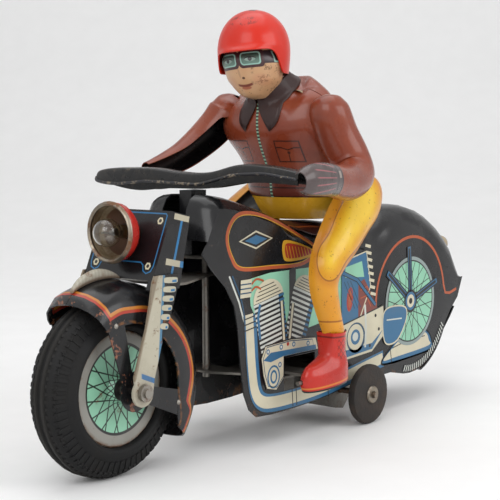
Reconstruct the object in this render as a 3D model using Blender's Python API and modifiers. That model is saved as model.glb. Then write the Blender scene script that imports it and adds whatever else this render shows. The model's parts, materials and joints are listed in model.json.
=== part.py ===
"""Tin-plate toy motorcycle with rider, battery drive.

Sizes are in millimetres and turned into metres by MM. X points forward, Y to the
rider's left, Z up. X is counted from the front axle and then shifted, so that the
finished toy stands centred on the origin with its wheels on Z = 0.
"""

import math

import bmesh
import bpy
from mathutils import Matrix, Vector

MM = 0.001

# Clearances and sheet
GAP = 0.3
SEAM = 0.15
SHEET = 0.7
PLATE = 1.0

# Front wheel
TYRE_R = 38.0
TYRE_HALF = 8.2
TYRE_BORE = 20.0
RIM_R = 24.35
DISC_STEP_R = 18.0
HUB_R = 5.0
AXLE_R = 2.0

# Body pressings
BODY_HALF = 20.0
REAR_X = -200.5
REAR_Z = 54.5
PRINT_TYRE_R = 38.0
TAIL_TIP = -266.5

# Fork, lamp and front mudguard
FENDER_R = 45.0
FENDER_HALF = 17.0
FORK_END_R = 6.0
LAMP_RISE = 19.1
LAMP_Z = TYRE_R + FENDER_R + LAMP_RISE
LAMP_R = 12.7
LAMP_REACH = 11.524606
LAMP_DEPTH = 9.1
BULB_R = 6.0
BULB_BASE_R = 3.0
NACELLE_TOP = (-19.2, 110.9)
NACELLE_FOOT = (-5.6, 79.2)
NACELLE_RAKE = (NACELLE_TOP[0] - NACELLE_FOOT[0]) / (NACELLE_TOP[1] - NACELLE_FOOT[1])
LAMP_X = NACELLE_FOOT[0] + NACELLE_RAKE * (LAMP_Z - NACELLE_FOOT[1]) + LAMP_REACH
NACELLE_REAR_TOP = (-30.5, 108.3)
NACELLE_REAR_FOOT = (-23.4, 78.5)

# Steering
PIVOT_X = -62.5
ROD_R = 1.6
ARM_Z = 79.4
LOW_BRACKET_Z = 35.4
UP_BRACKET_Z = 88.0
BAR_X = -60.0
POST_X0 = -59.3
POST_X1 = -49.5
GRIP_Y = 63.2

# Drive
DRIVE_X = -149.5
DRIVE_R = 14.65
DRIVE_W = 4.6
DRIVE_FACE = 31.1
DRIVE_AXLE_R = 1.5
DECK_Z = 29.0
HOUSING_HALF = 12.0
GEAR_Y = 6.0
GEAR_W = 2.0
AXLE_GEAR_R = 7.6
IDLER_SMALL_R = 4.0
IDLER_LARGE_R = 9.8
PINION_R = 3.8
MOTOR_R = 9.0
MOTOR_CLEAR = 0.7

# Batteries and door
CELL_R = 13.1
CELL_LEN = 50.0
CELL_X = -197.5
DOOR_PIN = (-209.5, 19.6)
DOOR_PIN_R = 1.0

# Rider
PIN_Y = 34.0
PIN_Z = 30.0
PIN_R = 1.0
HIP_Y = -25.5
HIP_Z = 119.5
SEAT_Z = 101.4

X_SHIFT = -(TYRE_R + TAIL_TIP) / 2.0

WHEEL_POINT = (0.0, 0.0, TYRE_R)
STEER_POINT = (PIVOT_X, 0.0, ARM_Z)
DRIVE_POINT = (DRIVE_X, 0.0, DRIVE_R)
DOOR_POINT = (DOOR_PIN[0], 0.0, DOOR_PIN[1])
RIDER_POINT = (-105.0, PIN_Y, PIN_Z)
HIP_POINT = (-140.0, HIP_Y, HIP_Z)
BODY_POINT = (0.0, 0.0, 0.0)

for old in list(bpy.data.objects):
    bpy.data.objects.remove(old, do_unlink=True)

PARTS = bpy.data.collections.new("tin_motorcycle")
CUTTERS = bpy.data.collections.new("cutters")
bpy.context.scene.collection.children.link(PARTS)
bpy.context.scene.collection.children.link(CUTTERS)


def place(point):
    return Vector(((point[0] + X_SHIFT) * MM, point[1] * MM, point[2] * MM))


def joint_empty(name, point):
    empty = bpy.data.objects.new(name, None)
    empty.empty_display_size = 0.01
    empty.location = place(point)
    PARTS.objects.link(empty)
    return empty


BODY = joint_empty("at_body", BODY_POINT)
STEER = joint_empty("at_steering", STEER_POINT)
WHEEL = joint_empty("at_front_axle", WHEEL_POINT)
DRIVE = joint_empty("at_drive_axle", DRIVE_POINT)
DOOR = joint_empty("at_door_pin", DOOR_POINT)
RIDER = joint_empty("at_boot_pin", RIDER_POINT)
HIP = joint_empty("at_right_hip", HIP_POINT)


def finish(obj, look, parent):
    """Gives a part its own material and hangs it on its joint."""
    colour, metal, rough = look
    material = bpy.data.materials.new(obj.name)
    material.use_nodes = True
    shader = material.node_tree.nodes["Principled BSDF"]
    shader.inputs["Base Color"].default_value = (*colour, 1.0)
    shader.inputs["Metallic"].default_value = metal
    shader.inputs["Roughness"].default_value = rough
    obj.data.materials.append(material)
    PARTS.objects.link(obj)
    obj.parent = parent
    obj.matrix_parent_inverse = Matrix.Translation(-parent.location)
    return obj


BLACK = ((0.012, 0.012, 0.014), 0.0, 0.3)
CREAM = ((0.75, 0.7, 0.55), 0.0, 0.35)
TINPLATE = ((0.55, 0.53, 0.5), 1.0, 0.4)
STEEL = ((0.4, 0.39, 0.37), 1.0, 0.45)
BRASS = ((0.7, 0.52, 0.25), 1.0, 0.4)
RED = ((0.5, 0.03, 0.02), 0.0, 0.3)
GREEN = ((0.35, 0.6, 0.45), 0.0, 0.35)
RUBBER = ((0.02, 0.02, 0.02), 0.0, 0.7)
GLASS = ((0.85, 0.87, 0.85), 0.0, 0.05)
BROWN = ((0.16, 0.05, 0.03), 0.0, 0.4)
OCHRE = ((0.62, 0.33, 0.06), 0.0, 0.4)
SKIN = ((0.62, 0.38, 0.22), 0.0, 0.4)


def mesh_object(name, points, faces, origin):
    base = place(origin)
    mesh = bpy.data.meshes.new(name)
    mesh.from_pydata([place(p) - base for p in points], [], faces)
    mesh.update()
    obj = bpy.data.objects.new(name, mesh)
    obj.location = base
    return obj


def solidify(obj, thickness):
    wall = obj.modifiers.new("sheet", "SOLIDIFY")
    wall.thickness = thickness * MM
    wall.offset = -1.0
    wall.use_even_offset = False
    wall.use_rim = True
    return obj


def grid(name, rows, origin, sheet=0.0, ring=False, caps=(False, False), flip=False, skip=()):
    """A surface through rows of points. Sheet gives it a wall on its inner side."""
    count = len(rows[0])
    points = [p for row in rows for p in row]
    faces = []
    spans = count if ring else count - 1
    for r in range(len(rows) - 1):
        for c in range(spans):
            if c in skip:
                continue
            d = (c + 1) % count
            faces.append((r * count + c, r * count + d, (r + 1) * count + d, (r + 1) * count + c))
    if caps[0]:
        faces.append(tuple(reversed(range(count))))
    if caps[1]:
        last = (len(rows) - 1) * count
        faces.append(tuple(last + c for c in range(count)))
    if flip:
        faces = [tuple(reversed(f)) for f in faces]
    obj = mesh_object(name, points, faces, origin)
    used = {i for f in faces for i in f}
    if len(used) < len(points):
        drop_loose(obj)
    return solidify(obj, sheet) if sheet else obj


def drop_loose(obj):
    work = bmesh.new()
    work.from_mesh(obj.data)
    loose = [v for v in work.verts if not v.link_faces]
    bmesh.ops.delete(work, geom=loose, context="VERTS")
    work.to_mesh(obj.data)
    work.free()


TURNS = {
    "XZ": (math.pi / 2, 0.0, 0.0),
    "XY": (0.0, 0.0, 0.0),
    "YZ": (math.pi / 2, 0.0, math.pi / 2),
}


def plate(name, outlines, low, high, plane="XZ"):
    """A flat pressing: outer outline first, then its holes, given in one plane."""
    curve = bpy.data.curves.new(name, "CURVE")
    curve.dimensions = "2D"
    curve.fill_mode = "BOTH"
    curve.extrude = abs(high - low) / 2.0 * MM
    first = outlines[0][0]
    for outline in outlines:
        spline = curve.splines.new("POLY")
        spline.points.add(len(outline) - 1)
        for point, (a, b) in zip(spline.points, outline):
            point.co = ((a - first[0]) * MM, (b - first[1]) * MM, 0.0, 1.0)
        spline.use_cyclic_u = True
    obj = bpy.data.objects.new(name, curve)
    obj.rotation_euler = TURNS[plane]
    mid = (low + high) / 2.0
    spot = {"XZ": (first[0], mid, first[1]), "XY": (first[0], first[1], mid)}
    spot["YZ"] = (mid, first[0], first[1])
    obj.location = place(spot[plane])
    return obj


def as_mesh(obj):
    """Turns a curve that has to be cut, or has modifiers, into a welded mesh."""
    PARTS.objects.link(obj)
    bpy.context.view_layer.update()
    graph = bpy.context.evaluated_depsgraph_get()
    mesh = bpy.data.meshes.new_from_object(obj.evaluated_get(graph))
    name = obj.name
    matrix = obj.matrix_world.copy()
    bpy.data.objects.remove(obj, do_unlink=True)
    work = bmesh.new()
    work.from_mesh(mesh)
    bmesh.ops.remove_doubles(work, verts=work.verts, dist=1e-6)
    bmesh.ops.recalc_face_normals(work, faces=work.faces)
    work.to_mesh(mesh)
    work.free()
    mesh.name = name
    made = bpy.data.objects.new(name, mesh)
    made.matrix_world = matrix
    return made


def lathe(name, profile, centre, axis, steps=32, loop=False):
    """Turns (radius, along) pairs, listed from the far end to the near one, round an axis."""
    mesh = bpy.data.meshes.new(name)
    edges = [(i, i + 1) for i in range(len(profile) - 1)]
    if loop:
        edges.append((len(profile) - 1, 0))
    mesh.from_pydata([(r * MM, 0.0, h * MM) for r, h in profile], edges, [])
    obj = bpy.data.objects.new(name, mesh)
    turn = obj.modifiers.new("turned", "SCREW")
    turn.steps = steps
    turn.render_steps = steps
    turn.use_merge_vertices = True
    turn.merge_threshold = 0.00001
    obj.location = place(centre)
    aim = {"X": (0.0, math.pi / 2, 0.0), "Y": (-math.pi / 2, 0.0, 0.0), "Z": (0.0, 0.0, 0.0)}
    obj.rotation_euler = aim[axis]
    return obj


def turned_rod(name, radius, low, high, centre, axis, steps=20):
    profile = [(0.0, high), (radius, high), (radius, low), (0.0, low)]
    return lathe(name, profile, centre, axis, steps)


def block(name, low, high):
    mesh = bpy.data.meshes.new(name)
    work = bmesh.new()
    bmesh.ops.create_cube(work, size=1.0)
    size = [(b - a) * MM for a, b in zip(low, high)]
    bmesh.ops.scale(work, vec=size, verts=work.verts)
    work.to_mesh(mesh)
    work.free()
    obj = bpy.data.objects.new(name, mesh)
    obj.location = place([(a + b) / 2.0 for a, b in zip(low, high)])
    return obj


def cutter(obj):
    CUTTERS.objects.link(obj)
    obj.hide_render = True
    obj.display_type = "WIRE"
    return obj


def join(obj, tool, operation):
    change = obj.modifiers.new(operation.lower(), "BOOLEAN")
    change.operation = operation
    change.solver = "EXACT"
    change.object = tool
    return obj


def circle(radius, centre, count=24):
    step = 2.0 * math.pi / count
    return [
        (centre[0] + radius * math.cos(i * step), centre[1] + radius * math.sin(i * step))
        for i in range(count)
    ]


def arc(radius, centre, start, end, count):
    found = []
    for i in range(count):
        a = math.radians(start + (end - start) * i / (count - 1))
        found.append((centre[0] + radius * math.cos(a), centre[1] + radius * math.sin(a)))
    return found


def ribbon(path, thickness):
    """The outline of a bent strip that follows a path."""
    left = []
    right = []
    for i, (x, z) in enumerate(path):
        ax, az = path[max(i - 1, 0)]
        bx, bz = path[min(i + 1, len(path) - 1)]
        length = math.hypot(bx - ax, bz - az)
        nx = -(bz - az) / length * thickness / 2.0
        nz = (bx - ax) / length * thickness / 2.0
        left.append((x + nx, z + nz))
        right.append((x - nx, z - nz))
    return left + right[::-1]


def gear_outline(radius, centre, teeth, depth):
    found = []
    for i in range(teeth):
        for part, r in ((0.0, radius - depth), (0.3, radius), (0.6, radius), (0.8, radius - depth)):
            a = 2.0 * math.pi * (i + part) / teeth
            found.append((centre[0] + r * math.cos(a), centre[1] + r * math.sin(a)))
    return found


def blend(table, at):
    """Straight-line reading of a table of (key, values...) rows."""
    if at <= table[0][0]:
        return table[0][1:]
    for low, high in zip(table, table[1:]):
        if at <= high[0]:
            t = (at - low[0]) / (high[0] - low[0])
            return tuple(a + (b - a) * t for a, b in zip(low[1:], high[1:]))
    return table[-1][1:]


def front_wheel():
    """Ribbed tyre on two pressed discs that meet on a hub tube."""
    side = TYRE_HALF
    inner = side - 1.9
    tyre = [
        (TYRE_BORE, inner), (RIM_R + GAP, inner), (RIM_R + 2.0, side), (RIM_R + 6.5, side),
        (TYRE_R - 3.2, side - 1.2), (TYRE_R - 1.0, side - 3.0), (TYRE_R - 0.9, 3.2),
        (TYRE_R, 2.6), (TYRE_R, 1.4), (TYRE_R - 0.9, 0.8),
    ]
    tyre = tyre + [(r, -h) for r, h in reversed(tyre)]
    ring = lathe("front_tyre", tyre, WHEEL_POINT, "Y", 40, loop=True)
    finish(ring, RUBBER, WHEEL)
    face = side - 0.5
    back = inner + GAP
    bore = AXLE_R + GAP
    disc = [
        (bore, face + 1.4), (HUB_R, face + 1.4), (HUB_R + 1.4, face - 0.5),
        (DISC_STEP_R, face - 0.5), (DISC_STEP_R + 1.0, face), (RIM_R - 0.6, face),
        (RIM_R, face - 0.5), (RIM_R, back), (DISC_STEP_R + 1.2, back),
        (DISC_STEP_R + 0.2, back - 0.6), (HUB_R + 0.8, back - 0.6), (HUB_R + 0.8, back - 1.0),
        (bore, back - 1.0),
    ]
    for name, sign in (("wheel_disc_left", 1.0), ("wheel_disc_right", -1.0)):
        profile = [(r, sign * h) for r, h in disc]
        part = lathe(name, profile if sign > 0 else profile[::-1], WHEEL_POINT, "Y", 28, loop=True)
        finish(part, GREEN, WHEEL)
    end = back - 1.0 - GAP
    tube = [(bore, end), (HUB_R, end), (HUB_R, -end), (bore, -end)]
    finish(lathe("wheel_hub", tube, WHEEL_POINT, "Y", 18, loop=True), TINPLATE, WHEEL)


def front_axle():
    """Fixed axle with a nut outside each fork end."""
    out = BODY_HALF + GAP + PLATE + GAP
    half = [(AXLE_R, out), (3.6, out), (3.6, out + 1.8), (AXLE_R, out + 1.8), (AXLE_R, out + 2.8)]
    top = [(0.0, out + 2.8)] + half[::-1]
    profile = top + [(r, -h) for r, h in reversed(top)]
    finish(lathe("front_axle", profile, WHEEL_POINT, "Y", 18), STEEL, STEER)


def fork_leg(name, sign):
    """Flat leg with the printed spring beside it, hung on the nacelle's side."""
    front = [(-7.4, 85.0), (-6.1, 82.4), (-4.2, 73.0), (-2.0, 63.9), (2.2, 53.0), (5.0, 44.8)]
    end = arc(FORK_END_R, (0.0, TYRE_R), 40.0, -150.0, 12)
    rear = [(-6.6, 43.0), (-9.0, 50.0), (-11.8, 58.8), (-13.0, 60.5)]
    rear = rear + [(-17.0, 69.0), (-20.5, 78.0), (-21.6, 85.0)]
    low = sign * (BODY_HALF + GAP)
    high = sign * (BODY_HALF + GAP + PLATE)
    hole = circle(AXLE_R + GAP, (0.0, TYRE_R), 16)
    finish(plate(name, [front + end + rear, hole], low, high), CREAM, STEER)


def nacelle():
    """Raked lamp panel folded back into two side strips, open behind and below."""
    outer = [NACELLE_TOP, NACELLE_REAR_TOP, NACELLE_REAR_FOOT, NACELLE_FOOT]
    shell = as_mesh(plate("nacelle", [outer], -BODY_HALF, BODY_HALF))
    inner = [
        (NACELLE_TOP[0] - SHEET * 1.2, NACELLE_TOP[1] - SHEET * 1.1),
        (NACELLE_REAR_TOP[0] - 5.0, NACELLE_REAR_TOP[1] - SHEET * 1.1 - 1.2),
        (NACELLE_REAR_FOOT[0] - 5.0, NACELLE_REAR_FOOT[1] - 8.0),
        (NACELLE_FOOT[0] + 3.4 - SHEET * 1.2, NACELLE_FOOT[1] - 8.0),
    ]
    reach = BODY_HALF - SHEET
    join(shell, cutter(as_mesh(plate("cut_nacelle", [inner], -reach, reach))), "DIFFERENCE")
    bore = turned_rod("cut_lamp_hole", BULB_BASE_R + GAP, -8.0, 8.0, (LAMP_X - 11.5, 0.0, LAMP_Z), "X", 16)
    join(shell, cutter(bore), "DIFFERENCE")
    reach = FENDER_HALF + 2.0 * GAP
    arch = turned_rod("cut_arch", FENDER_R + 2.0 * GAP, -reach, reach, WHEEL_POINT, "Y", 64)
    join(shell, cutter(arch), "DIFFERENCE")
    finish(shell, BLACK, STEER)


def headlamp():
    """Red cup with a rolled rim, and a globe bulb whose base goes through the nacelle."""
    back = -LAMP_DEPTH
    hole = BULB_BASE_R + GAP
    cup = [
        (LAMP_R - 0.6, 0.0), (LAMP_R, -0.5), (LAMP_R - 0.6, -3.6), (LAMP_R - 2.6, -6.4), (5.0, back),
        (hole, back), (hole, back + SHEET), (5.0, back + SHEET), (LAMP_R - 3.4, -6.0),
        (LAMP_R - 1.4, -3.4), (LAMP_R - 1.3, 0.0),
    ]
    centre = (LAMP_X, 0.0, LAMP_Z)
    finish(lathe("lamp_cup", cup, centre, "X", 28, loop=True), RED, STEER)
    low = GAP
    rim = [(LAMP_R - 1.5, low + 1.2), (LAMP_R - 0.7, low + 1.8), (LAMP_R + 0.2, low + 1.2)]
    rim = rim + [(LAMP_R + 0.4, low + 0.4), (LAMP_R - 0.2, low), (LAMP_R - 1.3, low)]
    finish(lathe("lamp_rim", rim, centre, "X", 28, loop=True), TINPLATE, STEER)
    globe = [(0.0, 8.4)]
    for a in (62, 35, 8, -18, -42):
        globe.append((BULB_R * math.cos(math.radians(a)), 2.4 + BULB_R * math.sin(math.radians(a))))
    globe = globe + [(2.6, -3.2), (2.6, -3.9), (0.0, -3.9)]
    finish(lathe("bulb", globe, centre, "X", 20), GLASS, STEER)
    base = [(0.0, -3.9 - GAP), (BULB_BASE_R, -3.9 - GAP), (BULB_BASE_R, -15.5), (1.2, -17.0), (0.0, -17.0)]
    finish(lathe("bulb_base", base, centre, "X", 20), BRASS, STEER)


FENDER_SKIRT = [
    (-30.0, 14.5), (-20.0, 16.0), (0.0, 17.0), (20.0, 18.0), (45.0, 19.0),
    (90.0, 19.4), (108.0, 18.6), (120.0, 16.2), (127.0, 13.0),
]


def front_fender(name, sign):
    """Half of the mudguard: crown, deep skirt, and stays that run to the axle."""
    rows = []
    inset = FENDER_HALF - 1.0
    for i in range(25):
        a = -31.0 + 158.0 * i / 24
        edge = FENDER_R - blend(FENDER_SKIRT, a)[0]
        end = min(1.0, (a + 31.0) / 9.0)
        crown = FENDER_R - 2.0 * (1.0 - end) ** 2
        shape = [
            (SEAM, crown), (inset * 0.42, crown - 0.9), (inset * 0.74, crown - 2.9),
            (inset * 0.95, crown - 6.0), (FENDER_HALF, crown - 10.0), (FENDER_HALF, edge),
        ]
        t = math.radians(a)
        rows.append([(-r * math.sin(t), sign * y, TYRE_R + r * math.cos(t)) for y, r in shape])
    part = grid(name, rows, WHEEL_POINT, sheet=SHEET, flip=sign < 0)
    mid = FENDER_HALF - SHEET / 2.0
    low = sign * (mid - 0.22)
    high = sign * (mid + 0.22)
    boss = circle(8.5, (0.0, TYRE_R), 24)
    hole = circle(AXLE_R + GAP, (0.0, TYRE_R), 16)
    far = FENDER_R - 18.0
    ahead = [(2.0, TYRE_R + 8.0), (7.4, TYRE_R + 3.6), (15.2, TYRE_R + far), (6.2, TYRE_R + far + 3.0)]
    behind = [(-7.0, TYRE_R + 1.4), (-far, TYRE_R - 3.4), (2.0 - far, TYRE_R - 14.0), (-6.4, TYRE_R - 6.2)]
    for tag, outlines in (("boss", [boss, hole]), ("ahead", [ahead]), ("behind", [behind])):
        tool = as_mesh(plate(f"{name}_{tag}", outlines, low, high))
        join(part, cutter(tool), "UNION")
    drill = turned_rod(f"cut_{name}", AXLE_R + GAP, -3.0, 3.0, (0.0, sign * mid, TYRE_R), "Y", 16)
    join(part, cutter(drill), "DIFFERENCE")
    finish(part, BLACK, STEER)


def crest():
    """Thin upright fin on the seam of the mudguard."""
    foot = arc(FENDER_R + GAP, (0.0, TYRE_R), 96.5, 65.5, 8)
    seat = TYRE_R + FENDER_R
    top = [(15.6, seat + 1.3), (11.0, seat + 3.4), (4.9, seat + 4.4), (-2.7, seat + 3.0)]
    finish(plate("crest", [foot + top], -0.7, 0.7), CREAM, STEER)


def steering():
    """Upright rod, the arm from it to the nacelle, and the two brackets that hold the rod."""
    centre = (PIVOT_X, 0.0, 0.0)
    rod = turned_rod("steering_rod", ROD_R, LOW_BRACKET_Z - 2.5, UP_BRACKET_Z + 4.0, centre, "Z", 16)
    finish(rod, STEEL, STEER)
    wide = BODY_HALF - SHEET - GAP
    arm = [
        (-66.5, -4.5), (-60.0, -6.0), (-29.0, -wide), (-19.6, -wide),
        (-19.6, wide), (-29.0, wide), (-60.0, 6.0), (-66.5, 4.5),
    ]
    hole = circle(ROD_R + GAP, (PIVOT_X, 0.0), 16)
    finish(plate("steering_arm", [arm, hole], ARM_Z, ARM_Z + PLATE, "XY"), STEEL, STEER)
    for name, z, front in (("lower_bracket", LOW_BRACKET_Z, -58.5), ("upper_bracket", UP_BRACKET_Z, -47.0)):
        outline = [(-72.0, -wide), (front - 6.0, -wide), (front, -6.0), (front, 6.0)]
        outline = outline + [(front - 6.0, wide), (-72.0, wide)]
        finish(plate(name, [outline, hole], z, z + PLATE, "XY"), STEEL, BODY)


BAR_LEFT = [
    (0.0, 125.0, 118.0, 8.0), (8.0, 125.6, 118.3, 8.0), (15.0, 127.4, 119.4, 8.0),
    (22.0, 129.2, 120.6, 8.2), (30.0, 129.6, 121.6, 8.6), (40.0, 129.2, 121.8, 8.8),
    (50.0, 128.0, 121.4, 8.4), (GRIP_Y - 6.0, 126.6, 121.0, 8.0),
]
BAR_RIGHT = [
    (8.0, 125.2, 118.0, 8.2), (15.0, 125.8, 118.0, 8.8), (22.0, 126.6, 117.6, 9.6),
    (29.0, 127.0, 116.6, 10.6), (36.0, 127.0, 116.6, 11.6), (44.0, 126.9, 117.6, 12.4),
    (52.0, 126.6, 119.2, 12.6), (58.0, 125.9, 120.4, 12.0), (61.6, 125.0, 121.0, 10.0),
    (GRIP_Y, 124.0, 121.6, 7.0),
]


def handlebar():
    """Folded channel bar, open underneath, on a square post in the tank's notch."""
    stations = [(-y, t, b, d) for y, t, b, d in reversed(BAR_RIGHT)] + BAR_LEFT
    rows = []
    for y, t, b, d in stations:
        near = BAR_X + d / 2.0
        far = BAR_X - d / 2.0
        row = [(near, b), (near, t - 1.8), (near - 0.6, t - 0.6), (near - 1.8, t)]
        row += [(far + 1.8, t), (far + 0.6, t - 0.6), (far, t - 1.8), (far, b)]
        rows.append([(x, y, z) for x, z in row])
    finish(grid("handlebar", rows, (BAR_X, 0.0, 124.0), sheet=SHEET, flip=True), BLACK, BODY)
    foot = UP_BRACKET_Z + PLATE + GAP
    head = BAR_LEFT[0][2] - GAP
    finish(block("handlebar_post", (POST_X0, -3.5, foot), (POST_X1, 3.5, head)), BLACK, BODY)


TANK_AND_TAIL = [
    (-39.5, 97.0, 2.0), (-41.0, 104.0, 4.0), (-42.2, 110.0, 6.0), (-44.5, 114.2, 6.0),
    (-48.0, 116.2, 6.0), (-54.0, 116.0, 6.0), (-61.0, 115.0, 6.0), (-68.0, 113.2, 6.0),
    (-76.0, 111.0, 6.0), (-87.0, 107.8, 6.0), (-95.0, 104.9, 6.5), (-100.5, 101.8, 8.0),
    (-104.0, 100.8, 10.0), (-107.0, 100.4, 12.0), (-120.0, 99.2, 14.0), (-137.0, 98.3, 15.0),
    (-155.0, 96.2, 15.0),
    (-166.0, 94.2, 14.0), (-171.0, 94.6, 13.0), (-176.0, 98.0, 12.0), (-183.0, 101.4, 12.0),
    (-191.0, 103.8, 12.0), (-200.0, 104.6, 12.0), (-208.0, 104.1, 12.0), (-217.0, 102.0, 12.0),
    (-226.0, 98.4, 12.0), (-234.0, 93.9, 12.0), (-242.0, 87.8, 12.0), (-249.0, 80.4, 11.0),
    (-254.0, 72.5, 11.0), (-257.0, 65.0, 9.0), (-257.6, 60.0, 5.0),
]
UNDERSIDE = [(-248.5, 52.0), (-240.5, 45.0)]
BOTTOM = [
    (-182.5, 19.4), (-165.0, 19.0), (-142.0, 18.3), (-123.0, 15.6), (-102.0, 14.5),
    (-84.9, 14.3), (-73.9, 14.9), (-68.9, 18.9), (-65.4, 26.2), (-62.7, 41.5),
    (-61.1, 56.5), (-58.9, 67.1), (-53.4, 75.7), (-44.7, 83.7), (-37.8, 91.0),
]
ROUNDING = [(0.0, 0.0), (7.0, 0.03), (12.0, 0.14), (16.0, 0.38), (18.5, 0.68), (20.0, 1.0)]


def inset_rows(outline, sign):
    """Rings of the pressing from the seam out to the flat side, drawn in by the rounding."""
    count = len(outline)
    normals = []
    for i in range(count):
        ax, az = outline[i - 1][:2]
        bx, bz = outline[(i + 1) % count][:2]
        length = math.hypot(bx - ax, bz - az)
        normals.append((-(bz - az) / length, (bx - ax) / length))
    rows = []
    for across, share in ROUNDING:
        y = sign * max(SEAM, across * BODY_HALF / ROUNDING[-1][0])
        row = []
        for (x, z, depth), (nx, nz) in zip(outline, normals):
            row.append((x + nx * depth * share, y, z + nz * depth * share))
        rows.append(row)
    return rows


def body_half(name, sign):
    """Tank, seat base, rear mudguard and printed side in one deep pressing."""
    tyre = arc(PRINT_TYRE_R, (REAR_X, REAR_Z), 206.0, 279.0, 9)
    outline = TANK_AND_TAIL + [(x, z, 0.0) for x, z in UNDERSIDE + tyre + BOTTOM]
    flange = len(TANK_AND_TAIL) - 1
    part = grid(
        name, inset_rows(outline, sign), BODY_POINT, sheet=SHEET, ring=True, caps=(False, True),
        flip=sign > 0, skip=range(flange, len(outline)),
    )
    notch = block(f"cut_notch_{name}", (-66.0, -7.0, 84.0), (-30.0, 7.0, 125.0))
    join(part, cutter(notch), "DIFFERENCE")
    if sign > 0:
        window = block("cut_boot_window", (-118.0, BODY_HALF - 5.0, 23.5), (-94.0, BODY_HALF + 5.0, 39.0))
        join(part, cutter(window), "DIFFERENCE")
    finish(part, BLACK, BODY)


def saddle():
    """Pressed seat cover that follows the seat base."""
    base = [p for p in TANK_AND_TAIL if -167.0 < p[0] < -103.0]
    wide = BODY_HALF / ROUNDING[-1][0]
    rows = []
    for i, (x, z, depth) in enumerate(base):
        reach = (9.0, 13.5, 16.0, 16.4, 16.4, 14.5)[min(i, 5)] * wide
        section = []
        for k in range(9):
            y = reach * (1.0 - k / 4.0)
            drop = [blend(ROUNDING, abs(y + d) / wide)[0] * depth for d in (-0.4, 0.0, 0.4)]
            slope = (drop[0] - drop[2]) / 0.8
            length = math.hypot(slope, 1.0)
            off = 2.5 * GAP + SHEET
            section.append((x, y - slope / length * off, z - drop[1] + off / length))
        rows.append(section)
    finish(grid("saddle", rows, (-137.0, 0.0, 99.0), sheet=SHEET, flip=True), BROWN, BODY)


def deck_and_housing():
    """Floor plate between the side pressings, with the gear box hung under it."""
    wide = BODY_HALF - SHEET - GAP
    floor = [(-165.0, -wide), (-96.0, -wide), (-96.0, wide), (-165.0, wide)]
    slot = [(-160.0, 1.5), (-130.0, 1.5), (-130.0, 11.5), (-160.0, 11.5)]
    finish(plate("deck", [floor, slot], DECK_Z, DECK_Z + PLATE, "XY"), STEEL, BODY)
    top = DECK_Z - GAP
    outer = [
        (-112.0, top), (-112.0, 17.5), (-121.0, 16.0), (-146.0, 6.0), (-152.0, 5.0),
        (-156.0, 9.0), (-161.0, 17.0), (-161.0, top),
    ]
    inner = [
        (-112.8, top + 6.0), (-112.8, 18.2), (-121.2, 16.8), (-146.2, 6.8), (-151.6, 5.9),
        (-155.2, 9.4), (-160.2, 17.2), (-160.2, top + 6.0),
    ]
    box = as_mesh(plate("gear_housing", [outer], -HOUSING_HALF, HOUSING_HALF))
    reach = HOUSING_HALF - SHEET
    join(box, cutter(as_mesh(plate("cut_housing", [inner], -reach, reach))), "DIFFERENCE")
    bore = turned_rod("cut_axle_bore", DRIVE_AXLE_R + GAP, -20.0, 20.0, DRIVE_POINT, "Y", 16)
    join(box, cutter(bore), "DIFFERENCE")
    finish(box, TINPLATE, BODY)


IDLER_Z = DRIVE_R + math.sqrt((AXLE_GEAR_R + IDLER_SMALL_R + GAP) ** 2 - 4.2**2)
IDLER_X = DRIVE_X + 4.2
MOTOR_Z = DECK_Z + PLATE + GAP + MOTOR_R
MOTOR_X = IDLER_X + math.sqrt((IDLER_LARGE_R + PINION_R + GAP) ** 2 - (MOTOR_Z - IDLER_Z) ** 2)
IDLER_POINT = (IDLER_X, 0.0, IDLER_Z)
MOTOR_POINT = (MOTOR_X, 0.0, MOTOR_Z)
IDLER = joint_empty("at_idler", IDLER_POINT)
MOTOR = joint_empty("at_motor_shaft", MOTOR_POINT)


def gear_train():
    """Motor, pinion, step-down gear and the gear on the drive axle."""
    low = GEAR_Y - GEAR_W / 2.0
    high = GEAR_Y + GEAR_W / 2.0
    hole = circle(DRIVE_AXLE_R + GAP, (DRIVE_X, DRIVE_R), 16)
    wheel = gear_outline(AXLE_GEAR_R, (DRIVE_X, DRIVE_R), 24, 0.9)
    finish(plate("axle_gear", [wheel, hole], low, high), BRASS, DRIVE)
    far = HOUSING_HALF - SHEET - GAP
    step = turned_rod("idler_gear", 1.2, -far, far, IDLER_POINT, "Y", 12)
    small = gear_outline(IDLER_SMALL_R, (IDLER_X, IDLER_Z), 12, 0.9)
    large = gear_outline(IDLER_LARGE_R, (IDLER_X, IDLER_Z), 30, 0.9)
    join(step, cutter(as_mesh(plate("idler_small", [small], low, high + 1.0))), "UNION")
    join(step, cutter(as_mesh(plate("idler_large", [large], high + 0.8, high + 2.8))), "UNION")
    finish(step, BRASS, IDLER)
    back = -(BODY_HALF - SHEET - MOTOR_CLEAR)
    can = [(0.0, 6.6), (3.0, 6.6), (3.0, 5.4), (MOTOR_R, 5.4), (MOTOR_R, back), (0.0, back)]
    finish(lathe("motor", can, MOTOR_POINT, "Y", 24), TINPLATE, BODY)
    pinion = gear_outline(PINION_R, (MOTOR_X, MOTOR_Z), 9, 0.7)
    finish(plate("motor_pinion", [pinion], 6.6 + GAP, high + 3.0), BRASS, MOTOR)


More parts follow.
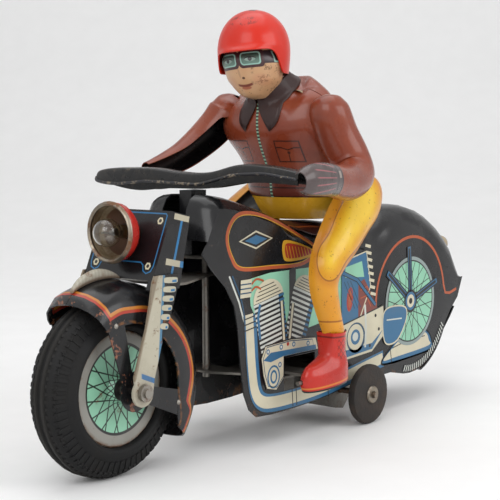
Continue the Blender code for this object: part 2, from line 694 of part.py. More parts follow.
def drive_wheels():
    """Through axle with a plain wheel and a pressed washer at each end."""
    end = DRIVE_FACE + 2.6
    finish(turned_rod("drive_axle", DRIVE_AXLE_R, -end, end, DRIVE_POINT, "Y", 16), STEEL, DRIVE)
    bore = DRIVE_AXLE_R + GAP
    out = DRIVE_FACE
    near = out - DRIVE_W
    wheel = [
        (bore, out), (DRIVE_R - 2.2, out), (DRIVE_R - 0.5, out - 0.5), (DRIVE_R, out - 1.4),
        (DRIVE_R, near + 1.4), (DRIVE_R - 0.5, near + 0.5), (DRIVE_R - 2.2, near), (bore, near),
    ]
    washer = [(bore, out + 1.1), (4.0, out + 1.1), (4.4, out + GAP), (bore, out + GAP)]
    for side, sign in (("left", 1.0), ("right", -1.0)):
        looks = (("drive_wheel", wheel, RUBBER, 32), ("axle_washer", washer, TINPLATE, 18))
        for name, profile, look, steps in looks:
            shape = [(r, sign * h) for r, h in profile]
            shape = shape if sign > 0 else shape[::-1]
            part = lathe(f"{name}_{side}", shape, DRIVE_POINT, "Y", steps, loop=True)
            finish(part, look, DRIVE)


def batteries():
    """Two cells in a bent tray, with a contact strip at each end."""
    strip = 0.6
    half = CELL_LEN / 2.0 + strip + 2.0 * GAP
    wall = BODY_HALF - SHEET - GAP - 0.4
    path = [
        (CELL_X + half + 0.4, CELL_R), (CELL_X + half + 0.4, -wall),
        (CELL_X - half - 0.4, -wall), (CELL_X - half - 0.4, CELL_R),
    ]
    outer = [
        (path[0][0] + 0.4, path[0][1]), (path[0][0] + 0.4, -wall - 0.4),
        (path[2][0] - 0.4, -wall - 0.4), (path[3][0] - 0.4, path[3][1]),
        (path[3][0] + 0.4, path[3][1]), (path[2][0] + 0.4, -wall + 0.4),
        (path[1][0] - 0.4, -wall + 0.4), (path[0][0] - 0.4, path[0][1]),
    ]
    low = REAR_Z - 1.7 * CELL_R
    high = REAR_Z + 1.9 * CELL_R
    finish(plate("battery_tray", [outer], low, high, "XY"), TINPLATE, BODY)
    for name, z in (("cell_lower", REAR_Z - CELL_R - 0.2), ("cell_upper", REAR_Z + CELL_R + 0.2)):
        end = CELL_LEN / 2.0
        nub = 3.0 if name == "cell_upper" else 2.5
        can = [(0.0, end), (nub, end), (nub, end - 1.2), (CELL_R, end - 1.2), (CELL_R, -end), (0.0, -end)]
        finish(lathe(name, can, (CELL_X, 0.0, z), "X", 24), OCHRE, BODY)
    for name, x in (("contact_front", CELL_X + half - GAP), ("contact_rear", CELL_X - half + GAP + strip)):
        low_z = REAR_Z - 1.5 * CELL_R
        part = block(name, (x - strip, -5.0, low_z), (x, 5.0, REAR_Z + 1.5 * CELL_R))
        finish(part, BRASS, BODY)


def battery_door():
    """Curved flap under the tail, rolled round a pin at its front edge."""
    curl = arc(DOOR_PIN_R + GAP + 0.4, DOOR_PIN, 110.0, -90.0, 12)
    sweep = arc(PRINT_TYRE_R + 2.4, (REAR_X, REAR_Z), 251.0, 208.0, 8)
    path = curl + [(-211.6, 17.5)] + sweep + [(-242.6, 41.6), (-247.0, 46.6)]
    half = BODY_HALF - SHEET - 2.0 * GAP
    finish(plate("battery_door", [ribbon(path, 0.8)], -half, half), BLACK, DOOR)
    pin = BODY_HALF - SHEET - GAP
    finish(turned_rod("door_pin", DOOR_PIN_R, -pin, pin, DOOR_POINT, "Y", 12), STEEL, BODY)


SWITCH_POINT = (-128.0, -15.6, 25.0)
SWITCH = joint_empty("at_switch", SWITCH_POINT)


def switch():
    """Small lever that hangs below the right-hand side, on its own pin."""
    lever = [(-129.6, 28.0), (-129.6, 12.5), (-126.4, 12.5), (-126.4, 28.0)]
    hole = circle(0.8 + GAP, (SWITCH_POINT[0], SWITCH_POINT[2]), 12)
    y = SWITCH_POINT[1]
    finish(plate("switch_lever", [lever, hole], y - 0.6, y + 0.6), STEEL, SWITCH)
    reach = (-(BODY_HALF - SHEET - GAP) - y, -(HOUSING_HALF + GAP) - y)
    finish(turned_rod("switch_pin", 0.8, reach[0], reach[1], SWITCH_POINT, "Y", 12), STEEL, BODY)


def tail():
    """Tail lamp on a short stem, with a plain plate under it."""
    lamp = [(0.0, -12.5), (2.4, -12.0), (4.2, -10.0), (5.0, -7.0)]
    lamp = lamp + [(5.0, 0.0), (2.0, 0.0), (2.0, 2.2), (0.0, 2.2)]
    finish(lathe("tail_lamp", lamp[::-1], (TAIL_TIP + 12.5, 0.0, 79.0), "X", 24), OCHRE, BODY)
    finish(block("number_plate", (-259.2, -8.0, 59.0), (-258.2, 8.0, 72.0)), CREAM, BODY)


TORSO = [
    (SEAT_Z, -131.0, 15.0, 17.0, 0.0), (106.0, -131.0, 18.0, 21.0, 0.0), (112.0, -130.0, 19.0, 23.5, 0.0),
    (114.0, -129.5, 20.0, 26.0, 0.0), (122.0, -128.0, 18.5, 24.6, 0.1), (131.0, -124.4, 18.2, 26.4, 0.18),
    (140.0, -120.2, 18.0, 27.6, 0.28), (148.0, -117.4, 17.6, 28.2, 0.38), (153.5, -115.8, 16.6, 26.8, 0.46),
    (157.6, -114.4, 15.0, 21.5, 0.52), (160.6, -113.0, 13.2, 15.0, 0.55), (162.6, -112.2, 11.8, 11.3, 0.56),
]


def oval(row, start, end, count, turn=0.0):
    z, x, depth, width = row[:4]
    slope = row[4] if len(row) > 4 else 0.0
    found = []
    for i in range(count):
        a = math.radians(start + (end - start) * i / (count - 1))
        u = depth * math.cos(a)
        v = width * math.sin(a)
        c = math.cos(turn)
        s = math.sin(turn)
        found.append((x + c * u - s * v, s * u + c * v, z - slope * u))
    return found


def torso():
    """Front and back pressings of the rider's trunk, open at the seat and the collar."""
    front = [oval(row, -89.2, 89.2, 13) for row in TORSO]
    back = [oval(row, 90.8, 269.2, 13) for row in TORSO]
    finish(grid("torso_front", front, RIDER_POINT, sheet=SHEET), BROWN, RIDER)
    finish(grid("torso_back", back, RIDER_POINT, sheet=SHEET), BROWN, RIDER)


HEAD = [
    (150.0, -107.0, 5.5, 6.0), (159.0, -107.0, 5.5, 6.0), (160.0, -100.8, 12.2, 8.4),
    (162.0, -99.4, 13.0, 10.8), (166.0, -98.0, 14.0, 12.6), (172.0, -98.0, 15.0, 13.5),
    (178.0, -98.0, 15.0, 13.5), (184.0, -98.0, 13.2, 12.0), (190.0, -98.0, 8.0, 7.4),
    (197.0, -97.5, 3.0, 3.0),
]
HEAD_TURN = math.radians(20.0)
HELMET_X = -97.5
HELMET_Z = 181.2
HELMET_A = 18.4
HELMET_B = 16.0
HELMET_C = 17.2
HELMET_FLAP = 11.6


def helmet_rim(a):
    """Lift of the rim, as a share of the flap: up over the brow, down over each ear."""
    side = abs(math.degrees(math.atan2(math.sin(a), math.cos(a))))
    if side < 52.0:
        return -0.3
    if side < 76.0:
        share = (side - 52.0) / 24.0
        return -0.3 - 0.7 * share * share * (3.0 - 2.0 * share)
    if side < 120.0:
        return -1.0
    return -1.0 + 0.2 * (side - 120.0) / 60.0


def head_and_helmet():
    """Head with a neck peg, turned to the left, and a bowl helmet that rests on its crown."""
    rows = [oval(row, 0.0, 360.0 * 23 / 24, 24, HEAD_TURN) for row in HEAD]
    finish(grid("head", rows, RIDER_POINT, sheet=SHEET, ring=True, caps=(False, True)), SKIN, RIDER)
    bowl = []
    for lift in (-1.0, -0.5, 0.0, 0.2, 0.4, 0.6, 0.78, 0.93):
        row = []
        for i in range(36):
            a = 2.0 * math.pi * i / 36
            up = math.pi / 2.0 * max(lift, 0.0)
            drop = max(-lift, 0.0) * helmet_rim(a)
            size = math.cos(up) - 0.06 * drop * drop
            brim = 1.5 * max(0.0, math.cos(a)) ** 3 if lift < -0.9 else 0.0
            u = (HELMET_A * size + brim) * math.cos(a)
            v = HELMET_B * size * math.sin(a)
            z = HELMET_Z + HELMET_C * math.sin(up) + HELMET_FLAP * drop
            c = math.cos(HEAD_TURN)
            s = math.sin(HEAD_TURN)
            row.append((HELMET_X + c * u - s * v, s * u + c * v, z))
        bowl.append(row)
    part = grid("helmet", bowl, RIDER_POINT, sheet=SHEET, ring=True, caps=(False, True))
    finish(part, RED, RIDER)


def limb(name, stations, side, span, origin, count=9):
    """A half-shell limb along a line of stations, open towards the middle of the toy."""
    rows = []
    for i, (x, y, z, out, across) in enumerate(stations):
        a = Vector(stations[max(i - 1, 0)][:3])
        b = Vector(stations[min(i + 1, len(stations) - 1)][:3])
        along = (b - a).normalized()
        u = Vector((0.0, side, 0.0))
        u = (u - along * along.dot(u)).normalized()
        v = along.cross(u)
        row = []
        for k in range(count):
            t = math.radians(-span + 2.0 * span * k / (count - 1))
            row.append(Vector((x, y, z)) + u * out * math.cos(t) + v * across * math.sin(t))
        rows.append([tuple(p) for p in row])
    return grid(name, rows, origin, sheet=SHEET)


ARM_LEFT = [
    (-112.0, 29.4, 159.0, 4.5, 5.0), (-113.4, 29.9, 156.5, 7.6, 8.0), (-115.0, 30.5, 151.5, 9.4, 9.6),
    (-118.5, 32.2, 141.5, 9.6, 9.8), (-122.0, 36.0, 131.0, 9.6, 9.6), (-119.5, 41.0, 123.4, 9.4, 9.2),
    (-108.0, 46.0, 120.6, 8.8, 8.6), (-95.0, 50.6, 120.8, 7.6, 7.8), (-83.0, 55.0, 122.2, 6.3, 7.2),
    (-70.0, GRIP_Y - 5.2, 123.2, 5.2, 7.2), (-60.0, GRIP_Y - 4.9, 123.0, 4.9, 6.4),
    (-54.5, GRIP_Y - 4.7, 122.6, 3.6, 4.2),
]
ARM_RIGHT = [
    (-110.5, -29.4, 159.0, 4.5, 5.0), (-111.2, -29.8, 156.5, 7.4, 7.8), (-111.4, -30.4, 152.0, 9.0, 9.2),
    (-107.6, -32.8, 145.0, 9.2, 8.8), (-100.0, -36.0, 137.5, 8.4, 7.8), (-91.0, -39.0, 131.4, 7.5, 6.7),
    (-82.0, -41.5, 127.8, 6.0, 5.5), (-75.0, -43.0, 126.0, 4.5, 4.5), (-70.0, -43.5, 125.5, 3.4, 3.4),
]


def arms():
    """Left arm reaches round to the end of the bar, the right one to behind it."""
    finish(limb("arm_left", ARM_LEFT, 1.0, 96.0, RIDER_POINT), BROWN, RIDER)
    finish(limb("arm_right", ARM_RIGHT, -1.0, 96.0, RIDER_POINT), BROWN, RIDER)


LEG = [
    (-151.5, 24.6, 120.5, 5.0, 5.0), (-148.8, 25.4, 117.6, 9.0, 8.4), (-141.0, 26.6, 110.8, 10.8, 10.2),
    (-128.0, 29.6, 102.0, 11.5, 11.0), (-116.0, 32.6, 92.4, 11.3, 10.8), (-107.0, 34.6, 82.4, 10.4, 10.0),
    (-104.0, 35.0, 73.0, 9.6, 9.4), (-106.0, 35.0, 64.0, 9.0, 9.0), (-109.6, 35.0, 53.9, 8.0, 8.0),
]
BOOT = [
    (51.0, -110.5, 9.2, 8.6), (46.0, -111.0, 8.6, 8.0), (39.0, -111.0, 9.0, 7.4),
    (34.0, -109.0, 12.0, 7.2), (30.0, -107.0, 15.0, 7.2), (26.0, -106.0, 16.5, 7.2),
    (23.5, -106.0, 16.5, 7.2),
]


def leg(name, side, origin, parent):
    stations = [(x, side * y, z, out, across) for x, y, z, out, across in LEG]
    finish(limb(name, stations, side, 98.0, origin), OCHRE, parent)


def boot(name, side, origin):
    rows = []
    for row in reversed(BOOT):
        ring = oval(row, 0.0, 360.0 * 19 / 20, 20)
        rows.append([(x, y + side * (PIN_Y + 1.5), z) for x, y, z in ring])
    return grid(name, rows, origin, sheet=SHEET, ring=True, caps=(True, False))


def legs():
    """Two leg pressings with boots. The left boot turns on the pin, the right leg on the hip."""
    leg("leg_left", 1.0, RIDER_POINT, RIDER)
    leg("leg_right", -1.0, HIP_POINT, HIP)
    left = boot("boot_left", 1.0, RIDER_POINT)
    slot = block("cut_boot_slot", (-113.0, PIN_Y - 12.0, PIN_Z - 3.2), (-98.0, PIN_Y + 2.6, PIN_Z + 3.2))
    join(left, cutter(slot), "DIFFERENCE")
    bore = turned_rod("cut_boot_bore", PIN_R + GAP, -30.0, 30.0, RIDER_POINT, "X", 16)
    join(left, cutter(bore), "DIFFERENCE")
    finish(left, RED, RIDER)
    finish(boot("boot_right", -1.0, HIP_POINT), RED, HIP)


def foot_arm():
    """Arm from the deck out to the boot, and the pin that the rider leans on."""
    low = DECK_Z + PLATE + GAP
    arm = block("foot_arm", (-111.5, -10.0, low), (-99.5, PIN_Y + 1.6, low + 1.4))
    eye = turned_rod("foot_arm_eye", PIN_R + GAP + 0.8, -6.0, 6.0, (-105.5, PIN_Y, PIN_Z), "X", 16)
    join(arm, cutter(eye), "UNION")
    bore = turned_rod("cut_arm_bore", PIN_R + GAP, -12.0, 12.0, (-105.5, PIN_Y, PIN_Z), "X", 16)
    join(arm, cutter(bore), "DIFFERENCE")
    finish(arm, STEEL, BODY)
    finish(turned_rod("foot_pin", PIN_R, -19.0, 19.0, RIDER_POINT, "X", 12), STEEL, BODY)


front_wheel()
front_axle()
fork_leg("fork_leg_left", 1.0)
fork_leg("fork_leg_right", -1.0)
nacelle()
headlamp()
front_fender("front_fender_left", 1.0)
front_fender("front_fender_right", -1.0)
crest()
steering()
handlebar()
body_half("body_left", 1.0)
body_half("body_right", -1.0)
saddle()
deck_and_housing()
gear_train()
drive_wheels()
batteries()
battery_door()
switch()
tail()
torso()
head_and_helmet()
arms()
legs()
foot_arm()
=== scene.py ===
import json
import math

import bmesh
import bpy
from mathutils import Matrix, Vector
from mathutils.geometry import tessellate_polygon


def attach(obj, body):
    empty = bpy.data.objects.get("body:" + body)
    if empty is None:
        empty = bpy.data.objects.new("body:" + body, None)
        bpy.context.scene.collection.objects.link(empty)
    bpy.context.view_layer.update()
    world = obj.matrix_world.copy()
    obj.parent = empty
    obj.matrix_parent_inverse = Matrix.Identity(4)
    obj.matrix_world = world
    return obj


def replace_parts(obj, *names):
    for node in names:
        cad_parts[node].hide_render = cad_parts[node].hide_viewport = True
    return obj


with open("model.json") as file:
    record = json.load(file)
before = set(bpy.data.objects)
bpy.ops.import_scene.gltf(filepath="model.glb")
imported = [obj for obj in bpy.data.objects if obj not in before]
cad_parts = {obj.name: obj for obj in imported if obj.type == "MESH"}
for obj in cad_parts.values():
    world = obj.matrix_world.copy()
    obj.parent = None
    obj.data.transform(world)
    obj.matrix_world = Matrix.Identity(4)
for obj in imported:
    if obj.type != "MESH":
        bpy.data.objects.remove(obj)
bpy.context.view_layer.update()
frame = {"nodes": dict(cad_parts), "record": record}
record = frame["record"]

# The front tyre is one moulding of black rubber, dulled and dusty with age, with two
# ribs round its middle and cross grooves on its shoulders. It is stretched over the discs.


class Value:
    """A number in a material. Sums on it add the nodes that work it out."""

    def __init__(self, finish, socket):
        self.finish = finish
        self.socket = socket

    def sum(self, operation, a, b=None):
        node = self.finish.tree.nodes.new("ShaderNodeMath")
        node.operation = operation
        for slot, value in zip(node.inputs, (a, b)):
            self.finish.feed(slot, value)
        return Value(self.finish, node.outputs[0])

    def __add__(self, other):
        return self.sum("ADD", self, other)

    def __sub__(self, other):
        return self.sum("SUBTRACT", self, other)

    def __mul__(self, other):
        return self.sum("MULTIPLY", self, other)

    def __truediv__(self, other):
        return self.sum("DIVIDE", self, other)

    def __radd__(self, other):
        return self.sum("ADD", other, self)

    def __rsub__(self, other):
        return self.sum("SUBTRACT", other, self)

    def __rmul__(self, other):
        return self.sum("MULTIPLY", other, self)

    def __rtruediv__(self, other):
        return self.sum("DIVIDE", other, self)

    def __pow__(self, other):
        return self.sum("POWER", self, other)

    def __abs__(self):
        return self.sum("ABSOLUTE", self)

    def top(self, other):
        return self.sum("MAXIMUM", self, other)

    def low(self, other):
        return self.sum("MINIMUM", self, other)

    def ramp(self, start, end):
        """0 below start, 1 above end, with a soft step between."""
        return self.finish.add(
            "ShaderNodeMapRange",
            {"interpolation_type": "SMOOTHSTEP", "clamp": True},
            {"Value": self, "From Min": start, "From Max": end},
        )

    def fall(self, start, end):
        """1 below start, 0 above end."""
        return 1 - self.ramp(start, end)

    def near(self, start, end):
        """1 closer to zero than start, 0 farther off than end."""
        return abs(self).fall(start, end)

    def swing(self):
        """The way from the middle between two whole numbers, for marks that repeat."""
        return abs(self.sum("FRACT", self) - 0.5)


class Finish:
    """A material in the making: its nodes, its coordinates in millimetres and its shader."""

    def __init__(self, name):
        self.material = bpy.data.materials.new(name)
        self.material.use_nodes = True
        self.tree = self.material.node_tree
        self.shader = self.tree.nodes["Principled BSDF"]
        coords = self.tree.nodes.new("ShaderNodeTexCoord")
        self.point = Value(self, coords.outputs["Object"])
        parts = self.tree.nodes.new("ShaderNodeSeparateXYZ")
        self.tree.links.new(coords.outputs["Object"], parts.inputs[0])
        self.x = Value(self, parts.outputs[0]) * 1000 - SHIFT * 1000
        self.y = Value(self, parts.outputs[1]) * 1000
        self.z = Value(self, parts.outputs[2]) * 1000
        self.base = None
        self.gloss = None

    def feed(self, slot, value):
        if isinstance(value, str):
            value = shade(value)
        if value is None:
            return
        if isinstance(value, Value):
            self.tree.links.new(value.socket, slot)
        elif isinstance(value, tuple) and len(value) == 3 and slot.type == "RGBA":
            slot.default_value = (*value, 1)
        else:
            slot.default_value = value

    def add(self, kind, settings=None, sockets=None, out=0):
        node = self.tree.nodes.new(kind)
        for key, value in (settings or {}).items():
            setattr(node, key, value)
        for key, value in (sockets or {}).items():
            self.feed(node.inputs[key], value)
        return Value(self, node.outputs[out])

    def noise(self, scale, detail=3, rough=0.55):
        sockets = {"Vector": self.point, "Scale": scale, "Detail": detail, "Roughness": rough}
        return self.add("ShaderNodeTexNoise", {}, sockets)

    def mix(self, share, first, second):
        return self.add("ShaderNodeMix", {"data_type": "RGBA"}, {0: share, 6: first, 7: second}, 2)

    def paint(self, share, tone):
        """Lays a colour over the base, as far as the share says."""
        self.base = self.mix(share, self.base, tone)

    def bump(self, height, strength, distance):
        sockets = {"Height": height, "Strength": strength, "Distance": distance}
        self.feed(self.shader.inputs["Normal"], self.add("ShaderNodeBump", {}, sockets))

    def done(self, **sockets):
        for key, value in sockets.items():
            self.feed(self.shader.inputs[key.replace("_", " ")], value)
        return self.material

    def coated(self, weight=0):
        """The material with its painted base and its gloss under this much varnish."""
        return self.done(Base_Color=self.base, Roughness=self.gloss, Coat_Weight=weight)


def shade(code):
    """A printed colour, given as it looks on the tin, as the light it gives back."""
    parts = [int(code[i : i + 2], 16) / 255 for i in (0, 2, 4)]
    return tuple(c / 12.92 if c <= 0.04045 else ((c + 0.055) / 1.055) ** 2.4 for c in parts)


def length(a, b):
    return (a * a + b * b) ** 0.5


body_of_node = {n: b for b, names in record["behaviour"]["bodies"].items() for n in names}
WELD = 2e-6


def settle(name, mesh, material, body):
    """A finished mesh as a piece of the scene that moves with a body."""
    mesh.materials.clear()
    mesh.materials.append(material)
    piece = bpy.data.objects.new(name, mesh)
    bpy.context.scene.collection.objects.link(piece)
    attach(piece, body)
    return piece


def put_on(node, name, mesh, material):
    """A finished mesh in place of a CAD node."""
    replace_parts(settle(name, mesh, material, body_of_node[node]), node)


def dress(node, material, crease=38):
    """The node's own shape with its faces joined and rounded edges shaded as rounded."""
    mesh = frame["nodes"][node].data.copy()
    mesh.name = node + "_skin"
    work = bmesh.new()
    work.from_mesh(mesh)
    bmesh.ops.remove_doubles(work, verts=work.verts, dist=WELD)
    for face in work.faces:
        face.smooth = True
    for edge in work.edges:
        flat = len(edge.link_faces) == 2 and edge.calc_face_angle(0) > math.radians(crease)
        edge.smooth = not flat
    work.to_mesh(mesh)
    work.free()
    put_on(node, node + "_skin", mesh, material)


def dress_all(nodes, material, crease=38):
    for node in nodes:
        dress(node, material, crease)


def tyre_rubber():
    rubber = Finish("front_tyre_rubber")
    dust = rubber.noise(90, 5).ramp(0.35, 0.75)
    rubber.base = rubber.mix(dust, "111112", "1e1d1c")
    rubber.paint(length(rubber.x, rubber.z - AXLE_Z).ramp(36.9, 37.8) * 0.5, "2c2a27")
    rubber.bump(rubber.noise(900, 3), 0.25, 0.0004)
    rubber.shader.inputs["Specular IOR Level"].default_value = 0.25
    return rubber.done(Base_Color=rubber.base, Roughness=0.62 + 0.2 * dust)


# The front axle's place: metres ahead of the middle of the frame, and millimetres over the table.
SHIFT = 0.11425
AXLE_Z = 38
TYRE_RUBBER = tyre_rubber()
dress("front_tyre", TYRE_RUBBER, 50)


def joined(name, meshes):
    """One mesh out of several."""
    work = bmesh.new()
    for mesh in meshes:
        work.from_mesh(mesh)
    result = bpy.data.meshes.new(name)
    work.to_mesh(result)
    work.free()
    return result


def ring_tree():
    """Blocks set round an axle that lies along Y, each turned to follow the ring."""
    tree = bpy.data.node_groups.new("blocks_round_axle", "GeometryNodeTree")
    tree.interface.new_socket("Geometry", in_out="OUTPUT", socket_type="NodeSocketGeometry")
    for label, kind in (("Count", "Int"), ("Radius", "Float"), ("Block", "Vector"), ("Centre", "Vector"),
                        ("Tilt", "Float"), ("Finish", "Material")):
        tree.interface.new_socket(label, in_out="INPUT", socket_type="NodeSocket" + kind)
    given = tree.nodes.new("NodeGroupInput").outputs

    def add(kind, sockets, operation=None):
        node = tree.nodes.new(kind)
        if operation:
            node.operation = operation
        for key, value in sockets.items():
            if isinstance(value, float):
                node.inputs[key].default_value = value
            else:
                tree.links.new(value, node.inputs[key])
        return node.outputs[0]

    share = add("ShaderNodeMath", {0: add("GeometryNodeInputIndex", {}), 1: given["Count"]}, "DIVIDE")
    angle = add("ShaderNodeMath", {0: share, 1: 2 * math.pi}, "MULTIPLY")
    spot = {}
    for axis, operation in (("X", "SINE"), ("Z", "COSINE")):
        wave = add("ShaderNodeMath", {0: angle}, operation)
        spot[axis] = add("ShaderNodeMath", {0: wave, 1: given["Radius"]}, "MULTIPLY")
    place = add("ShaderNodeVectorMath", {0: add("ShaderNodeCombineXYZ", spot), 1: given["Centre"]})
    points = add("GeometryNodePoints", {"Count": given["Count"], "Position": place})
    turn = add("ShaderNodeCombineXYZ", {"X": given["Tilt"], "Y": angle})
    block = add("GeometryNodeMeshCube", {"Size": given["Block"]})
    copies = add("GeometryNodeInstanceOnPoints", {"Points": points, "Instance": block, "Rotation": turn})
    real = add("GeometryNodeRealizeInstances", {0: copies})
    painted = add("GeometryNodeSetMaterial", {"Geometry": real, "Material": given["Finish"]})
    tree.links.new(painted, tree.nodes.new("NodeGroupOutput").inputs[0])
    return tree


RING_TREE = ring_tree()


def plain_mesh(holder, step):
    """The mesh that a modifier makes; the modifier and its holder are taken away."""
    graph = bpy.context.evaluated_depsgraph_get()
    mesh = bpy.data.meshes.new_from_object(holder.evaluated_get(graph))
    holder.modifiers.remove(step)
    bpy.data.objects.remove(holder)
    return mesh


def from_tree(name, tree, settings):
    """Runs a tree of geometry nodes with these inputs and gives its plain mesh."""
    holder = bpy.data.objects.new(name, bpy.data.meshes.new(name))
    bpy.context.scene.collection.objects.link(holder)
    step = holder.modifiers.new(name, "NODES")
    step.node_group = tree
    for item in tree.interface.items_tree:
        if item.in_out == "INPUT" and item.name in settings:
            step[item.identifier] = settings[item.name]
    return plain_mesh(holder, step)


shoulders = []
for side in (-1, 1):
    shoulders.append(from_tree("tread_lugs", RING_TREE, {
        "Count": 76, "Radius": 0.0359, "Block": (0.00135, 0.0047, 0.0011),
        "Centre": (SHIFT, side * 0.0053, AXLE_Z * 0.001), "Tilt": -side * math.radians(31), "Finish": TYRE_RUBBER,
    }))
    shoulders.append(from_tree("side_lugs", RING_TREE, {
        "Count": 62, "Radius": 0.0329, "Block": (0.0015, 0.0011, 0.0056),
        "Centre": (SHIFT, side * 0.0073, AXLE_Z * 0.001), "Tilt": side * math.radians(17), "Finish": TYRE_RUBBER,
    }))
settle("front_tyre_lugs", joined("front_tyre_lugs", shoulders), TYRE_RUBBER, "front_wheel")

# The two wheel discs are pressed from printed tin plate: a pale grey rim, a thin black ring
# and a mint middle with crossing black spokes. They clamp the tyre and turn on a tin tube.
MINT = "8fc9ab"
RUST = "6b4526"
RIM_GREY = "8f8d86"


def stains(finish, base, amount, size=120):
    """Brown rust freckles and a little grime over a printed or plated surface."""
    spots = finish.noise(size, 6, 0.7).ramp(0.72 - amount, 0.8 - amount * 0.6)
    grime = finish.noise(size * 0.25, 4).ramp(0.45, 0.85) * 0.35
    return finish.mix(spots, finish.mix(grime, base, "4a4036"), RUST), spots


def wheel_disc_print(step, hub, spokes):
    disc = Finish("wheel_disc_print")
    height = disc.z - AXLE_Z
    radius = length(disc.x, height)
    angle = disc.x.sum("ARCTAN2", height, disc.x)
    lean = disc.x.sum("ARCCOSINE", (hub / radius).low(1))
    wires = []
    for way in (-1, 1):
        place = (angle + lean * way) * (spokes / (2 * math.pi))
        wires.append((place.swing() * radius * (2 * math.pi / spokes)).fall(0.22, 0.42))
    disc.base = disc.mix(wires[0].top(wires[1]), MINT, "17211d")
    disc.paint(radius.fall(hub, hub + 0.3), "1a1a1c")
    disc.paint(radius.ramp(step - 0.1, step + 0.15), "1b1b1c")
    disc.paint(radius.ramp(step + 1, step + 1.3), RIM_GREY)
    disc.base, spots = stains(disc, disc.base, 0.12)
    edge = disc.noise(260, 5).ramp(0.35, 0.6) * radius.ramp(step + 4, step + 6.3)
    disc.paint(edge, RUST)
    disc.bump(spots, 0.2, 0.0002)
    disc.gloss = 0.34 + 0.4 * spots.top(edge)
    return disc.coated()


dress_all(("wheel_disc_left", "wheel_disc_right"), wheel_disc_print(step=18.2, hub=4.6, spokes=15))


def bare_metal(name, tone, rust, rough=0.38):
    plate = Finish(name)
    scratch = plate.noise(700, 2)
    worn, spots = stains(plate, plate.mix(scratch, tone, "8c8882"), rust, 200)
    plate.bump(scratch, 0.12, 0.0002)
    return plate.done(Base_Color=worn, Roughness=rough + 0.35 * spots, Metallic=1 - spots)


dress("wheel_hub", bare_metal("hub_tin", "aaa69c", 0.1))

# The fork is two flat legs printed with a spring and a telescopic tube, on a steel axle
# with a nut outside each. The steel has gone brown; the print is cream and blue on black.
AXLE_STEEL = bare_metal("axle_steel", "9a958c", 0.2)
dress("front_axle", AXLE_STEEL)


def lacquer(name, tone, chips=0.06, rough=0.24, worn="5b4a3c"):
    """Glossy stove enamel over tin, with fine scratches, chips and dust in its dull places."""
    coat = Finish(name)
    dust = coat.noise(60, 5).ramp(0.4, 0.8)
    chip = coat.noise(330, 6, 0.72).ramp(0.74 - chips, 0.78 - chips)
    coat.base = shade(tone)
    coat.paint(dust * 0.6, tuple(c * 0.82 + 0.022 for c in coat.base))
    coat.paint(chip, worn)
    coat.bump(chip * -1 + coat.noise(1500, 2) * 0.05, 0.25, 0.0002)
    coat.shader.inputs["Specular IOR Level"].default_value = 0.3
    coat.gloss = rough + 0.1 * dust + 0.4 * chip
    return coat


def plain_lacquer(*look):
    return lacquer(*look).coated(0.12)


def fork_print():
    coat = lacquer("fork_print", "b9b3a0", 0.13)
    lean = coat.x + 11 + (coat.z - 60) * 0.09
    coat.base = coat.mix(lean.ramp(0.9, 1.5), "4d7d9c", coat.base)
    coat.paint((coat.x + (coat.z - 44.8) * 0.33).ramp(3.4, 4.4) * 0.7, "6e5a45")
    coat.paint(lean.fall(-0.3, 0) * coat.z.ramp(57, 58), "17171a")
    outer = (coat.z - AXLE_Z) * (coat.z - AXLE_Z) + coat.x * coat.x
    coat.paint(outer.fall(44, 56), "b7b1a0")
    band = (coat.z - 44.6 - coat.x * 0.4).near(0.9, 1.3) * coat.x.fall(0.5, 1.5)
    foot = coat.z.fall(31.6, 32.4) * coat.x.fall(0, 0.6)
    coat.paint(band.top(foot), "2f6ea2")
    coat.paint(coat.noise(210, 6, 0.7).ramp(0.57, 0.68), RUST)
    coat.paint(coat.noise(55, 5).ramp(0.45, 0.75) * 0.4, "7d7464")
    return coat.coated()


dress_all(("fork_leg_left", "fork_leg_right"), fork_print())

# The lamp panel is black tin folded back at both sides, raked to the fork. Blue lines run
# round its edges and a cream bolt head is printed near each corner.


